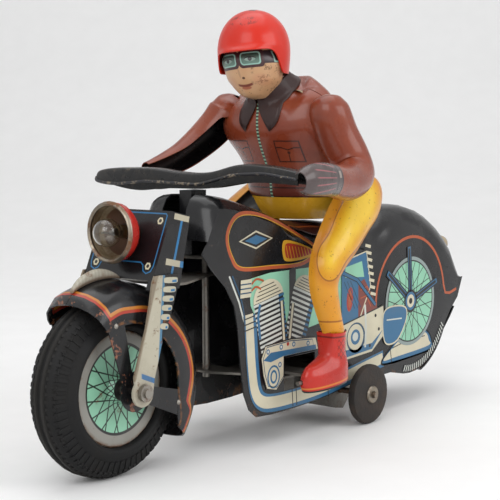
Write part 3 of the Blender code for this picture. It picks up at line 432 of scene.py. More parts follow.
class Drawing:
    """Flat printed shapes in layers on a surface, each with its own ink."""

    def __init__(self, name, to_space, lift=0.03, base=0.02):
        self.name = name
        self.to_space = to_space
        self.lift = lift
        self.level = base
        self.work = bmesh.new()
        self.ink = self.work.loops.layers.float_color.new("ink")

    def over(self):
        """What is drawn from here on lies over what is there already."""
        self.level += self.lift

    def area(self, outline, tone):
        colour = (*shade(tone), 1)
        out = self.to_space(*outline[0], self.level + 1) - self.to_space(*outline[0], self.level)
        for corners in tessellate_polygon([[Vector((u, v, 0)) for u, v in outline]]):
            points = [self.work.verts.new(self.to_space(*outline[i], self.level)) for i in corners]
            front = (points[1].co - points[0].co).cross(points[2].co - points[0].co)
            if front.dot(out) < 0:
                points.reverse()
            for loop in self.work.faces.new(points).loops:
                loop[self.ink] = colour

    def line(self, path, width, tone, closed=False):
        """A stroke of even width along a path, with its corners mitred."""
        count = len(path)
        left = []
        right = []
        for i, (u, v) in enumerate(path):
            before = path[i - 1] if closed or i > 0 else path[i]
            after = path[(i + 1) % count] if closed or i < count - 1 else path[i]
            way = Vector((after[0] - before[0], after[1] - before[1])).normalized()
            side = Vector((-way.y, way.x)) * width / 2
            left.append((u + side.x, v + side.y))
            right.append((u - side.x, v - side.y))
        if closed:
            left.append(left[0])
            right.append(right[0])
        for i in range(len(left) - 1):
            self.area([left[i], left[i + 1], right[i + 1], right[i]], tone)

    def oval(self, u, v, wide, high, tone, turn=0, count=28):
        points = []
        for i in range(count):
            a = 2 * math.pi * i / count
            p = Vector((wide * math.cos(a), high * math.sin(a)))
            p.rotate(Matrix.Rotation(turn, 2))
            points.append((u + p.x, v + p.y))
        self.area(points, tone)

    def dots(self, spots, size, tone, count=12):
        for u, v in spots:
            self.oval(u, v, size, size, tone, count=count)

    def mesh(self):
        result = bpy.data.meshes.new(self.name)
        self.work.to_mesh(result)
        self.work.free()
        return result


def curve(points, closed=False, steps=6):
    """Points set closer together along a smooth line through the given ones."""
    count = len(points)
    found = []
    for i in range(count if closed else count - 1):
        four = [points[(i + k) % count if closed else min(max(i + k, 0), count - 1)] for k in (-1, 0, 1, 2)]
        for s in range(steps):
            t = s / steps
            found.append(tuple(
                0.5 * (2 * b + (c - a) * t + (2 * a - 5 * b + 4 * c - d) * t * t
                       + (3 * b - a - 3 * c + d) * t ** 3)
                for a, b, c, d in zip(*four)
            ))
    return found if closed else found + [tuple(points[-1])]


def printed_ink(name):
    """Lithographed ink under old varnish: colours from the drawing, scuffs and pinholes."""
    ink = Finish(name)
    ink.base = ink.add("ShaderNodeAttribute", {"attribute_name": "ink"}, {}, "Color")
    scuff = ink.noise(420, 6, 0.7).ramp(0.7, 0.76)
    ink.paint(ink.noise(70, 4).ramp(0.4, 0.8) * 0.18, "6d675a")
    ink.paint(scuff * 0.8, "3a322b")
    ink.shader.inputs["Specular IOR Level"].default_value = 0.3
    ink.gloss = 0.3 + 0.3 * scuff
    return ink.coated(0.1)


INK = printed_ink("printed_ink")
BLACK_LACQUER = plain_lacquer("black_lacquer", "161618", 0.05)
dress("nacelle", BLACK_LACQUER)
PANEL_TOP = (-19.2, 110.9)
PANEL_FOOT = (-5.6, 79.2)
PANEL_LONG = 34.5
PANEL_BLUE = "2a72a4"
PANEL_OUT = (0.919, 0.394)
PANEL_CREAM = "b7b09a"


def metres(spot):
    """A spot given in mm from the front axle, as a place in the frame."""
    return Vector(spot) * 0.001 + Vector((SHIFT, 0, 0))


def between(a, b, share):
    return (a[0] + (b[0] - a[0]) * share, a[1] + (b[1] - a[1]) * share)


def on_panel(y, rise, up):
    """A spot on the raked front: y and the way up from its foot in mm."""
    x, z = between(PANEL_FOOT, PANEL_TOP, rise / PANEL_LONG)
    return metres((x + up * PANEL_OUT[0], y, z + up * PANEL_OUT[1]))


panel = Drawing("lamp_panel_print", on_panel)
half_line = [(0, 33.2), (17.4, 33.2), (18.2, 32.4), (18.2, 10.4), (17.4, 8), (15.2, 7), (13.2, 8),
             (12.2, 10.6), (10.6, 11.6), (0, 11.6)]
for way in (1, -1):
    panel.line([(way * y, rise) for y, rise in half_line], 0.6, PANEL_BLUE)
bolts = [(y, z) for y in (-15.2, 15.2) for z in (30, 10.2)]
for size, tone, count in ((1.7, "d9d2b4", 6), (0.8, "2b2b2c", 12)):
    panel.over()
    panel.dots(bolts, size, tone, count)


def beside(side, out):
    """A spot on the flat side of the toy, out millimetres from its middle."""
    return lambda x, z, up: metres((x, side * (out + up), z))


strips = [panel.mesh()]
for side in (-1, 1):
    strip = Drawing("panel_strip", beside(side, 20))
    strip.line([(-25.6, 107.6), (-18.6, 84.4)], 1.3, PANEL_BLUE)
    strip.over()
    strip.area([(-21, 110), (-30, 108), (-29.4, 105.6), (-20.4, 107.6)], PANEL_CREAM)
    strip.area([(-15.6, 91.6), (-24, 89.8), (-23.6, 87.2), (-15, 89)], PANEL_CREAM)
    strip.area([(-24, 89.8), (-26, 89.4), (-25.6, 86.8), (-23.6, 87.2)], PANEL_BLUE)
    strips.append(strip.mesh())
for side in (-1, 1):
    spring = Drawing("fork_spring", beside(side, 21.3))
    for turn in range(6):
        z = 82.6 - 3.75 * turn
        front_x = -13.6 + 0.55 * turn
        back_x = -20.9 + 1.2 * turn
        bar = curve([(front_x, z - 0.9), (front_x + 0.9, z + 0.1), (front_x, z + 1.3), (back_x + 0.8, z + 0.9),
                     (back_x, z - 0.2), (back_x + 0.8, z - 1.4)], closed=True, steps=3)
        spring.area(bar, "bdb7a2")
        middle = front_x * 0.45 + back_x * 0.55
        spring.over()
        spring.area([(middle, z - 0.1), (back_x + 0.6, z), (back_x + 0.6, z - 1.1), (middle, z - 1)], PANEL_BLUE)
    strips.append(spring.mesh())
settle("lamp_panel_print", joined("lamp_panel_print", strips), INK, "steering")

# The headlamp is a pressed red cup with a rolled, plated rim that has rusted. A clear globe
# bulb with a wire filament screws into a brass base through the panel behind it.
LAMP_X = -3.9
LAMP_Z = 102.1


def lamp_cup_paint():
    coat = lacquer("lamp_cup_paint", "b3271d", 0.08)
    along = coat.x - LAMP_X
    radius = length(coat.y, coat.z - LAMP_Z)
    wall = (9.7 + (along + 6.2) * 0.74).low(5 + (along + 8.75) * 1.84).low(11.85)
    inside = (radius - wall).fall(-0.15, 0.1)
    brown = coat.mix(coat.noise(150, 5), "3b2a1e", "6d4a33")
    lip = coat.mix(coat.noise(260, 5).ramp(0.35, 0.7), "8d7e66", "6a5136")
    coat.paint(inside, coat.mix(radius.ramp(9.7, 10.1), brown, lip))
    coat.gloss = coat.gloss + inside * 0.25
    return coat.coated()


dress("lamp_cup", lamp_cup_paint(), 30)
dress("lamp_rim", bare_metal("rusty_rim", "8f826c", 0.28), 60)
dress("bulb_base", bare_metal("bulb_brass", "a98846", 0.1))
LAMP = (LAMP_X, 0, LAMP_Z)


def skinned(work, rows, closed=False):
    """Faces between rows of points; a row of one point closes the end of a turned shape."""
    faces = []
    for low, high in zip(rows, rows[1:]):
        count = max(len(low), len(high))
        for i in range(count if closed else count - 1):
            k = (i + 1) % count
            corners = (low[i % len(low)], low[k % len(low)], high[k % len(high)], high[i % len(high)])
            corners = list(dict.fromkeys(corners))
            if len(corners) > 2:
                faces.append(work.faces.new(corners))
    return faces


def made(name, work):
    """The finished mesh, its faces turned outwards and shaded as round."""
    bmesh.ops.recalc_face_normals(work, faces=work.faces)
    for face in work.faces:
        face.smooth = True
    result = bpy.data.meshes.new(name)
    work.to_mesh(result)
    work.free()
    return result


def turned(name, profile, centre, axis, count):
    """A mesh turned from (radius, along) in mm round an axis through the centre."""
    work = bmesh.new()
    rings = []
    for radius, along in profile:
        ring = []
        for i in range(1 if radius < 1e-6 else count):
            a = 2 * math.pi * i / count
            u = radius * math.cos(a)
            v = radius * math.sin(a)
            spot = (along, u, v) if axis == "X" else (v, along, u)
            ring.append(work.verts.new(metres(Vector(centre) + Vector(spot))))
        rings.append(ring)
    skinned(work, rings, closed=True)
    return made(name, work)


def bulb_glass():
    glass = Finish("bulb_glass")
    smear = glass.noise(180, 4)
    return glass.done(Base_Color="f2f1ec", Roughness=0.02 + 0.05 * smear, Transmission_Weight=1, IOR=1.45)


globe = [(0, 8.4)]
for i in range(1, 17):
    a = math.radians(88 - 130 * i / 16)
    globe.append((6 * math.cos(a), 2.4 + 6 * math.sin(a)))
globe += [(2.9, -2.9), (2.6, -3.6), (2.2, -3.7), (2.2, -2.6)]
for i in range(16, 0, -1):
    a = math.radians(88 - 128 * i / 16)
    globe.append((5.7 * math.cos(a), 2.4 + 5.7 * math.sin(a)))
globe.append((0, 8.1))
put_on("bulb", "bulb_globe", turned("bulb_globe", globe, LAMP, "X", 40), bulb_glass())
stem = [(0, 1), (0.9, 0.6), (1.1, -1), (1.9, -3.2), (0, -3.4)]
wires = [turned("bulb_stem", stem, LAMP, "X", 16)]
post = [(0, 4.2), (0.16, 4.1), (0.16, 0.4), (0, 0.3)]
for way in (-1, 1):
    wires.append(turned("bulb_post", post, (LAMP_X, way * 1.7, LAMP_Z), "X", 8))
coil = [(0, 1.9), (0.22, 1.8), (0.22, -1.8), (0, -1.9)]
wires.append(turned("bulb_coil", coil, (LAMP_X + 4.1, 0, LAMP_Z), "Y", 8))
settle("bulb_filament", joined("bulb_filament", wires), bare_metal("filament_wire", "5e5a55", 0.05),
       "steering")

# The mudguard is two black pressings joined along the crown, with their stays. An ochre
# line over a red one runs along each skirt. A cream fin stands on the seam in front.


def fender_paint():
    coat = lacquer("fender_paint", "161618", 0.09)
    height = coat.z - AXLE_Z
    radius = length(coat.x, height)
    angle = coat.x.sum("ARCTAN2", coat.x * -1, height) * (180 / math.pi)
    rise = radius - (25.8 + 4.7 * angle.fall(-32, 40) + 6 * angle.ramp(96, 127))
    run = 34.7 - 0.9 * angle.ramp(-16, 0) + 0.5 * angle.ramp(40, 65) - 1.6 * angle.ramp(81, 105)
    run = run + 3.9 * angle.ramp(105, 114)
    level = ((angle + 23.5) * 0.75).low(radius - run)
    coat.paint((level + 0.55).near(0.5, 0.7), "a83a2a")
    coat.paint((level - 0.75).near(0.55, 0.75), "b9742c")
    coat.paint(coat.noise(260, 6, 0.75).ramp(0.56, 0.62) * angle.fall(-27, -22), "8a5a44")
    coat.paint(rise.fall(0.2, 1.2) * rise.ramp(-0.6, -0.3) * coat.noise(300, 5).ramp(0.42, 0.6), RUST)
    return coat.coated(0.15)


dress_all(("front_fender_left", "front_fender_right"), fender_paint(), 50)
rivets = []
head = [(0, 0.7), (0.7, 0.55), (1.15, 0)]
for side in (-1, 1):
    for x, z in ((10.7, 66.2), (-25.6, 29.4), (-7, 41)):
        rivets.append(turned("stay_rivet", [(r, side * h) for r, h in head], (x, side * 17, z), "Y", 14))
settle("stay_rivets", joined("stay_rivets", rivets), AXLE_STEEL, "steering")


def crest_paint():
    coat = lacquer("crest_paint", "aaa596", 0.1)
    coat.paint((coat.x * 0.55).swing().ramp(0.1, 0.4) * 0.3, "c9c5b8")
    low = length(coat.x, coat.z - AXLE_Z).fall(45.6, 47.6)
    rust = coat.noise(140, 6, 0.7).ramp(0.52, 0.68).top(low * 0.8)
    coat.paint(rust * 0.8, RUST)
    coat.gloss = coat.gloss + 0.2 * rust
    return coat.coated()


def crest_fin():
    """A thin half moon on the seam, thickest in the middle of its height."""
    crown = curve([(19, 79.2), (18.6, 81), (16.8, 83.2), (13.8, 85.4), (8.8, 87.2), (4, 87.7), (-1.7, 86.7),
                   (-6, 84.8), (-8.4, 82.8)])
    work = bmesh.new()
    feet = []
    for side in (-1, 1):
        rows = []
        for share, thick in ((0, 0.75), (0.35, 1), (0.7, 0.9), (0.93, 0.5), (1, 0)):
            row = []
            for x, z in crown:
                foot = AXLE_Z + math.sqrt(45.25 ** 2 - x * x)
                row.append(work.verts.new(metres((x, side * thick, foot + (max(z, foot) - foot) * share))))
            rows.append(row)
        feet.append(rows[0])
        skinned(work, rows)
    skinned(work, feet)
    bmesh.ops.remove_doubles(work, verts=work.verts, dist=1e-6)
    bmesh.ops.dissolve_degenerate(work, edges=work.edges, dist=1e-6)
    return made("crest_fin", work)


put_on("crest", "crest_fin", crest_fin(), crest_paint())

# The tyre's bead swells over the edge of each disc, as rubber does where it is stretched on.
# It belongs to the same black moulding as the tread.
beads = []
swell = [(24.5, 7.3), (24.6, 9), (25.2, 9.9), (26.4, 10.2), (27.8, 9.6), (29.2, 8.7), (30.4, 8.1)]
for side in (-1, 1):
    beads.append(turned("tyre_bead", [(r, side * h) for r, h in swell], (0, 0, AXLE_Z), "Y", 72))
settle("tyre_beads", joined("tyre_beads", beads), TYRE_RUBBER, "front_wheel")

# The fork turns on a steel rod that stands in two brackets between the side pressings. One
# flat arm carries it forward to the lamp panel. All of it is plain tin plate gone dull.
DULL_TIN = bare_metal("dull_tin", "6f6c66", 0.16, 0.5)
dress_all(("steering_rod", "steering_arm", "lower_bracket", "upper_bracket"), DULL_TIN)

# The handlebar is one black pressing, open underneath, on a square post in the tank's notch.
# Its edges are worn to bare tin. The right grip is broad and printed with a fine diamond.


def smooth_dress(node, material, crease=50, levels=2, form=None):
    """The node's shape with its coarse faces rounded out, and its cut edges kept."""
    mesh = frame["nodes"][node].data.copy()
    work = bmesh.new()
    work.from_mesh(mesh)
    bmesh.ops.remove_doubles(work, verts=work.verts, dist=WELD)
    bmesh.ops.join_triangles(
        work, faces=work.faces, angle_face_threshold=0.6, angle_shape_threshold=1.2, cmp_seam=False,
    )
    fold = work.edges.layers.float.new("crease_edge")
    for edge in work.edges:
        sharp = len(edge.link_faces) != 2 or edge.calc_face_angle(0) > math.radians(crease)
        edge[fold] = float(sharp)
        edge.smooth = not sharp
    for face in work.faces:
        face.smooth = True
    work.to_mesh(mesh)
    work.free()
    mesh.materials.clear()
    holder = bpy.data.objects.new(node + "_rounding", mesh)
    bpy.context.scene.collection.objects.link(holder)
    step = holder.modifiers.new("rounding", "SUBSURF")
    step.levels = levels
    step.render_levels = levels
    skin = plain_mesh(holder, step)
    if form:
        for vertex in skin.vertices:
            vertex.co = metres(form((vertex.co - Vector((SHIFT, 0, 0))) * 1000))
    put_on(node, node + "_skin", skin, material)


def handlebar_paint():
    coat = lacquer("handlebar_paint", "151517", 0.1, 0.26)
    lip = 119.6 + 1.2 * coat.y.ramp(-44, -29) - 0.8 * coat.y.ramp(-29, 0) + 4.6 * coat.y.ramp(0, 22)
    lip = lip + 0.8 * coat.y.ramp(22, 40) - 2 * coat.y.ramp(40, 55)
    over = coat.z - lip
    worn = coat.noise(240, 6, 0.7).ramp(0.5, 0.7) * (over.ramp(4.4, 6.6) * 0.7 + 0.12)
    # Painted light and shade: the bar is painted near black below the lip of its bead and a lighter grey above it.
    coat.base = coat.mix(over.ramp(0, 0.3) * 0.6, "0a0a0b", coat.mix(0.55, coat.base, "343434"))
    weave = coat.x.sum("SINE", (coat.x + coat.y) * 4.2) * coat.x.sum("SINE", (coat.x - coat.y) * 4.2)
    knurl = weave.ramp(-0.2, 0.4) * coat.y.fall(-45, -43.6)
    coat.paint(worn, "6f6253")
    coat.paint(knurl * 0.5, "3a3836")
    coat.gloss = coat.gloss + knurl * 0.2
    return coat.coated()


smooth_dress("handlebar", handlebar_paint(), 60)
BAR_EDGE = [
    (-59.4, -62.6, 122.2, 3), (-60, -60.6, 120.4, 5.4), (-60, -52, 119.4, 6.3), (-60, -44, 119.5, 6.2),
    (-60, -36, 120.2, 5.8), (-60, -29, 120.8, 5.3), (-60, -15, 120.5, 4.4), (-60, 0, 120, 4),
    (-60, 8, 121.4, 4), (-60, 15, 123, 4), (-60, 22, 124.6, 4.1), (-60, 30, 125.2, 4.3),
    (-60, 40, 125.4, 4.4), (-60, 50, 124.2, 4.2), (-60, 57, 123.4, 4),
]


def across_line(path, i, lean):
    """Two ways across a path at one of its points, the first of them as near as can be to the given one."""
    along = (path[min(i + 1, len(path) - 1)] - path[max(i - 1, 0)]).normalized()
    u = (lean - along * along.dot(lean)).normalized()
    return u, along.cross(u)


def bead_along(name, stations, thick):
    """A round bead of this radius in mm along the front of the bar."""
    path = [Vector(p) for p in curve([(x + deep, y, z) for x, y, z, deep in stations], steps=5)]
    work = bmesh.new()
    rings = []
    for i, spot in enumerate(path):
        u, v = across_line(path, i, Vector((0, 0, 1)))
        size = thick * (0.35 if i in (0, len(path) - 1) else 1)
        turns = [math.pi * k / 5 for k in range(10)]
        rings.append([work.verts.new(metres(spot + (u * math.cos(t) + v * math.sin(t)) * size)) for t in turns])
    skinned(work, rings, closed=True)
    work.faces.new(rings[0])
    work.faces.new(rings[-1])
    return made(name, work)


settle("handlebar_bead", bead_along("handlebar_bead", BAR_EDGE, 0.75),
       plain_lacquer("bead_paint", "26262a", 0.2, 0.34, "857a6a"), body_of_node["handlebar"])
dress("handlebar_post", BLACK_LACQUER)

# Each side is one deep pressing: tank, seat base, rear mudguard and the flat flank with the
# picture of an engine, a frame and a back wheel, lithographed on a black ground.


def flank_lacquer():
    coat = lacquer("flank_lacquer", "161618", 0.07)
    rust = coat.noise(230, 6, 0.7).ramp(0.5, 0.66) * coat.z.fall(16, 24)
    coat.paint(rust, RUST)
    coat.gloss = coat.gloss + 0.2 * rust
    return coat.coated(0.15)


dress_all(("body_left", "body_right"), flank_lacquer(), 32)
CREAM_INK = "d0c9b0"
WHITE_INK = "c9cdc6"
BLUE_INK = "33698f"
DEEP_BLUE_INK = "204763"
BLACK_INK = "19191b"
ORANGE_INK = "b2542e"
RED_INK = "ab3325"
YELLOW_INK = "d6a12a"
MAROON_INK = "7a3f38"


def draw_grounds(art):
    """Mint fields behind the engine and the frame, and the light down tube."""
    art.area([(-69, 78), (-84, 79.6), (-106, 79.6), (-139, 79), (-153, 78), (-153, 56),
              (-104, 50), (-76, 56), (-70, 66)], MINT)
    art.line([(-55.5, 80.5), (-62, 68.5), (-66, 58)], 1, WHITE_INK)
    art.over()
    art.line(curve([(-57.5, 80.5), (-64, 68), (-67.4, 52)]), 0.9, DEEP_BLUE_INK)
    art.area([(-98, 80), (-103, 80), (-103, 46), (-98, 46)], BLACK_INK)


EXHAUST = [(-69.6, 62), (-70.4, 50), (-71.4, 38), (-73.4, 27), (-77.6, 21.6), (-86, 19.6),
           (-104, 19.4), (-124, 20.4), (-142, 22.6), (-158, 25), (-176, 27.6)]


def draw_exhaust(art):
    """One pipe down the front and along the foot, into a long silencer."""
    pipe = curve(EXHAUST)
    glint = [(u + 0.7, v + 0.3) for u, v in pipe]
    for path, width, tone in ((pipe, 9.4, BLACK_INK), (pipe, 8.4, BLUE_INK), (glint, 5.4, CREAM_INK)):
        art.over()
        art.line(path, width, tone)
    art.over()
    for v in (61, 58.4, 55.8):
        art.line([(-65.6, v - 0.8), (-74, v + 0.4)], 0.6, BLACK_INK)
    for u in (-100, -103, -128):
        art.line([(u, 23.8), (u - 0.6, 15.6)], 0.6, BLACK_INK)
    art.line([(-176, 24.4), (-186, 24), (-219, 25.8)], 0.8, BLACK_INK)
    silencer = curve([(-174, 25.4), (-184, 24.2), (-219, 26), (-222, 31), (-215, 37.6),
                      (-192, 36.6), (-182, 32)], closed=True)
    art.line(silencer, 1.2, BLACK_INK, closed=True)
    art.area(silencer, BLUE_INK)
    art.over()
    art.area(curve([(-176, 26.4), (-188, 26.8), (-218, 28.6), (-219, 31.6), (-214, 36.4), (-193, 35.4),
                    (-183, 31.2)], closed=True), CREAM_INK)
    art.over()
    art.line([(-184, 31.8), (-194, 33.4), (-215, 34.4)], 0.5, BLACK_INK)
    art.line([(-182, 31.6), (-183.4, 24.6)], 0.6, BLACK_INK)


def draw_cylinder(art, foot, head, wide, fins):
    """A finned barrel between two points, with a domed head."""
    foot, head = Vector(foot), Vector(head)
    way = (head - foot).normalized()
    side = Vector((-way.y, way.x)) * wide / 2
    art.area([foot + side, head + side, head - side, foot - side], BLACK_INK)
    dome = []
    for i in range(13):
        a = math.pi * i / 12
        dome.append(head + side * (math.cos(a) * 1.04) + way * (math.sin(a) * wide * 0.42))
    art.area(dome, CREAM_INK)
    art.over()
    for i in range(fins):
        middle = foot.lerp(head, (i + 0.6) / fins)
        reach = side * (0.92 + 0.16 * i / fins)
        ends = [middle + reach * s for s in (1, 0.64, -1)]
        art.line(ends[:2], 1.15, BLUE_INK)
        art.line(ends[1:], 1.15, WHITE_INK)
    for i in range(4):
        middle = head + way * (wide * (0.06 + 0.08 * i))
        reach = side * (0.86 - 0.12 * i)
        art.line([middle + reach, middle - reach], 0.42, BLACK_INK)


def draw_engine(art):
    """A twin with its two barrels in a V over one crankcase, and the carburettor in front."""
    studs = ((-82, 43.6), (-91.6, 44.6), (-101, 44.8), (-112, 43.8), (-90.6, 36.6))
    art.over()
    draw_cylinder(art, (-101, 45), (-110, 69), 17, 11)
    art.over()
    draw_cylinder(art, (-87, 44.5), (-82.6, 68), 21, 11)
    for width, tone in ((2.6, BLACK_INK), (1.5, CREAM_INK)):
        art.over()
        for rod in (((-94, 46), (-92, 66)), ((-97.6, 46), (-100.6, 64))):
            art.line(rod, width, tone)
    art.line([(-76.4, 50), (-75, 60), (-76.4, 66)], 1.6, BLUE_INK)
    art.over()
    case = [(-77, 41), (-80, 46.5), (-99, 47.5), (-118, 46), (-120, 39.8), (-93.6, 39.8),
            (-93.6, 30), (-88, 25), (-81, 26.6), (-78.4, 33)]
    art.area(case, CREAM_INK)
    art.area([(-62.6, 70), (-70, 70), (-70.6, 78), (-63, 78)], CREAM_INK)
    art.over()
    art.line(case, 0.7, BLACK_INK, closed=True)
    art.area([(-78.6, 40), (-84, 43), (-118, 42.4), (-118.6, 40.2), (-93.2, 40.2), (-84, 38.6)], BLUE_INK)
    art.line([(u * 0.9 - 9.2, v * 0.9 + 3.9) for u, v in case], 0.45, DEEP_BLUE_INK, closed=True)
    art.oval(-86, 31.6, 4.6, 5.4, BLUE_INK)
    for v in (72, 74, 76):
        art.line([(-62.8, v), (-70.2, v)], 0.6, DEEP_BLUE_INK)
    art.line(curve([(-70.6, 75.6), (-74, 77.6), (-79, 76.4)]), 0.9, ORANGE_INK)
    art.line(curve([(-70.4, 72.6), (-73.6, 74.2), (-77, 72.8)]), 0.9, ORANGE_INK)
    art.over()
    art.oval(-86, 31.6, 3.7, 4.5, CREAM_INK)
    art.dots(studs, 1.25, BLUE_INK, 14)
    art.dots([(-96.6, 45.4)], 0.9, RED_INK)
    art.over()
    art.oval(-86, 31.6, 2.5, 3.2, BLUE_INK)
    art.dots(studs, 0.7, WHITE_INK)
    art.over()
    art.oval(-86, 31.6, 1.5, 2.1, CREAM_INK)


def draw_middle(art):
    """Gearbox, its case and the tool box, between the rider's leg and the back wheel."""
    stay = [(-140, 74.4), (-152, 70), (-168, 56)]
    art.over()
    art.area([(-139, 80), (-160, 83.6), (-163.6, 66), (-151, 45), (-139, 47)], BLUE_INK)
    art.over()
    art.area([(-142, 77), (-156, 79), (-158, 71), (-142, 72)], MINT)
    art.area([(-153, 68), (-158, 70), (-166, 60), (-170, 54), (-153, 48)], MAROON_INK)
    art.oval(-145.8, 61, 2.6, 6, RED_INK, 0.12)
    art.over()
    art.oval(-145.8, 61, 1.3, 4.2, ORANGE_INK, 0.12)
    art.line([(-140, 80), (-160, 83.6), (-163.6, 66), (-151, 45)], 0.8, CREAM_INK)
    for shift in (0, 2.6, 5.2):
        art.line([(-141 - shift, 70), (-150 - shift, 56)], 0.5, DEEP_BLUE_INK)
    art.line([(-155, 64.6), (-160.6, 66), (-166, 57.6)], 0.6, ORANGE_INK)
    art.line([(-155, 60.6), (-160, 61.4), (-164, 55.6)], 0.6, ORANGE_INK)
    art.line(stay, 2.4, BLACK_INK)
    art.over()
    art.line(stay, 1.5, BLUE_INK)
    box = [(-138, 48.6), (-175, 55), (-176.4, 40), (-165, 32.4), (-138, 31)]
    art.area(box, CREAM_INK)
    art.over()
    art.line(box, 0.7, BLACK_INK, closed=True)
    art.area([(-139, 36), (-165, 37), (-174.6, 42.6), (-165.2, 34), (-139, 32.4)], BLUE_INK)
    art.oval(-151, 41.4, 8, 7.6, DEEP_BLUE_INK)
    art.over()
    art.oval(-150.6, 41.8, 6.8, 6.4, CREAM_INK)
    art.line([(-158.7, 57), (-159.6, 46), (-159, 35.6)], 1.5, WHITE_INK)
    art.over()
    art.oval(-150.6, 41.8, 4, 3.8, BLUE_INK)
    art.over()
    art.oval(-150.4, 42, 2.4, 2.2, WHITE_INK)
    art.dots([(-142, 46), (-168, 50.6), (-171, 43.4), (-163, 36), (-142, 35.6)], 0.9, BLACK_INK)
    tool = curve([(-175, 50), (-181, 53.4), (-195, 52), (-196, 45), (-188, 35.6), (-178.4, 34.6),
                  (-175, 40)], closed=True, steps=4)
    art.area(tool, BLUE_INK)
    art.over()
    art.line(tool, 0.8, CREAM_INK, closed=True)
    art.line([(-178, 47), (-192, 46.4)], 0.7, WHITE_INK)
    for turn in range(8):
        u, v = between((-161, 86.4), (-165.6, 62), turn / 7)
        art.line([(u + 2.2, v + 0.3), (u - 2.4, v - 0.8)], 1.5, CREAM_INK)


WHEEL_AT = (-200.5, 54.5)


def round_wheel(radius, angle):
    """A spot on the picture of the back wheel, so far from its middle."""
    return (WHEEL_AT[0] + radius * math.cos(angle), WHEEL_AT[1] + radius * math.sin(angle))


def draw_back_wheel(art):
    """Spokes, rim and the stays of the back wheel, with tread marks along the tyre."""
    for size, tone in ((23.2, "8d9a98"), (21.4, BLACK_INK), (20.7, MINT)):
        art.dots([WHEEL_AT], size, tone, 48)
        art.over()
    for i in range(15):
        for way in (-1, 1):
            a = 2 * math.pi * (i + 0.25 * way) / 15
            art.line([round_wheel(4.6, a), round_wheel(20.6, a + way * 1.25)], 0.45, BLACK_INK)
    stays = ((-199, 83), (-179, 71), (-226, 63))
    slots = ((-199, 82), (-180, 70.4), (-225, 62.7))
    for ends, width, tone in ((stays, 4, BLACK_INK), (stays, 2.6, BLUE_INK), (slots, 1.5, BLACK_INK)):
        art.over()
        for end in ends:
            art.line([WHEEL_AT, end], width, tone)
    for size, tone in ((6, BLACK_INK), (4.8, BLUE_INK), (3.4, CREAM_INK)):
        art.dots([WHEEL_AT], size, tone, 28)
        art.over()
    art.dots([WHEEL_AT], 1.6, BLACK_INK, 14)
    for i in range(24):
        a = math.radians(206 + 72 * i / 23)
        art.line([round_wheel(33.6, a), round_wheel(36.8, a + 0.03)], 0.7, WHITE_INK)


def shrunk(path, u, v, wide, high):
    """A drawn outline made smaller about a spot."""
    return [((p[0] - u) * wide + u, (p[1] - v) * high + v) for p in path]


def draw_lines(art):
    """The orange lining of the tank and the mudguard, the knee pad and a plain lozenge."""
    loop = curve([(-54, 97), (-57, 104), (-63, 107.4), (-74, 106.8), (-88, 102.6), (-105, 95.2),
                  (-117, 89.4), (-119, 86), (-107, 81.6), (-85, 82), (-63.5, 83), (-57, 88.5)],
                 closed=True)
    art.line(loop, 1.7, ORANGE_INK, closed=True)
    guard = []
    for i in range(41):
        a = math.radians(-6 + 178 * i / 40)
        guard.append((-201.5 + 32.5 * math.cos(a), 55.5 + 32.5 * math.sin(a)))
    art.line(guard + [(-235.6, 55.4), (-240, 54.8), (-247, 56.4)], 1.5, ORANGE_INK)
    pad = curve([(-93, 92), (-96, 93.6), (-106, 91.4), (-116.6, 87.6), (-117, 85.2), (-106, 83.6),
                 (-96, 83.8), (-93.4, 86.4)], closed=True)
    art.area(pad, YELLOW_INK)
    sign = [(-62, 95.2), (-74, 99.4), (-86, 95.2), (-74, 91)]
    art.area(sign, CREAM_INK)
    art.over()
    art.area(shrunk(pad, -105, 88, 0.84, 0.72), RED_INK)
    art.area(shrunk(sign, -74, 95.2, 0.86, 0.8), BLACK_INK)
    art.line([(u * 0.965 - 2.9, v * 0.93 + 6.6) for u, v in loop], 0.35, YELLOW_INK, closed=True)
    art.over()
    for i in range(9):
        u = -95.6 - 2.3 * i
        art.line([(u, 91 - 0.3 * i), (u - 2, 84.6)], 0.45, YELLOW_INK)
    art.area(shrunk(sign, -74, 95.2, 0.66, 0.52), BLUE_INK)


flanks = []
for side in (-1, 1):
    for name, lift, base, steps in (
        ("flank_print", 0.02, 0.02, (draw_grounds, draw_exhaust, draw_engine, draw_middle)),
        ("tail_print", 0.02, 0.3, (draw_back_wheel,)), ("lining_print", 0.03, 0.02, (draw_lines,)),
    ):
        art = Drawing(name, beside(side, 20), lift, base)
        for draw in steps:
            draw(art)
        flanks.append(art.mesh())
settle("flank_print", joined("flank_print", flanks), INK, "chassis")

# The saddle is a brown pressing laid over the seat base, tabbed through it, with a fine
# orange line round its edge.


def saddle_paint():
    coat = lacquer("saddle_paint", "4a221c", 0.08, 0.32)
    coat.paint((abs(coat.y) - 13.2).near(0.25, 0.45), "a8542c")
    return coat.coated()


dress("saddle", saddle_paint(), 40)

# Under the tail sit a tan lamp on a short stem, a bare plate and the battery flap. The
# floor, the gear box, the motor, the cells and the switch are plain tin, brass and paper.
dress("tail_lamp", plain_lacquer("tail_lamp_paint", "a8977a", 0.12))
dress("number_plate", plain_lacquer("plate_paint", "c9c3ad", 0.1))
dress("battery_door", BLACK_LACQUER)
dress_all(("deck", "gear_housing", "battery_tray", "contact_front", "contact_rear", "door_pin", "switch_lever",
           "switch_pin", "foot_arm", "foot_pin"), DULL_TIN)
dress_all(("axle_gear", "idler_gear", "motor_pinion"), bare_metal("gear_brass", "a5884c", 0.06))
dress("motor", bare_metal("motor_can", "8a8781", 0.08))


def cell_wrap():
    wrap = Finish("cell_wrap")
    paper = wrap.mix(wrap.x.ramp(-189, -188.6), "2d4f86", "b9382c")
    worn, spots = stains(wrap, paper, 0.08)
    return wrap.done(Base_Color=worn, Roughness=0.4 + 0.3 * spots)


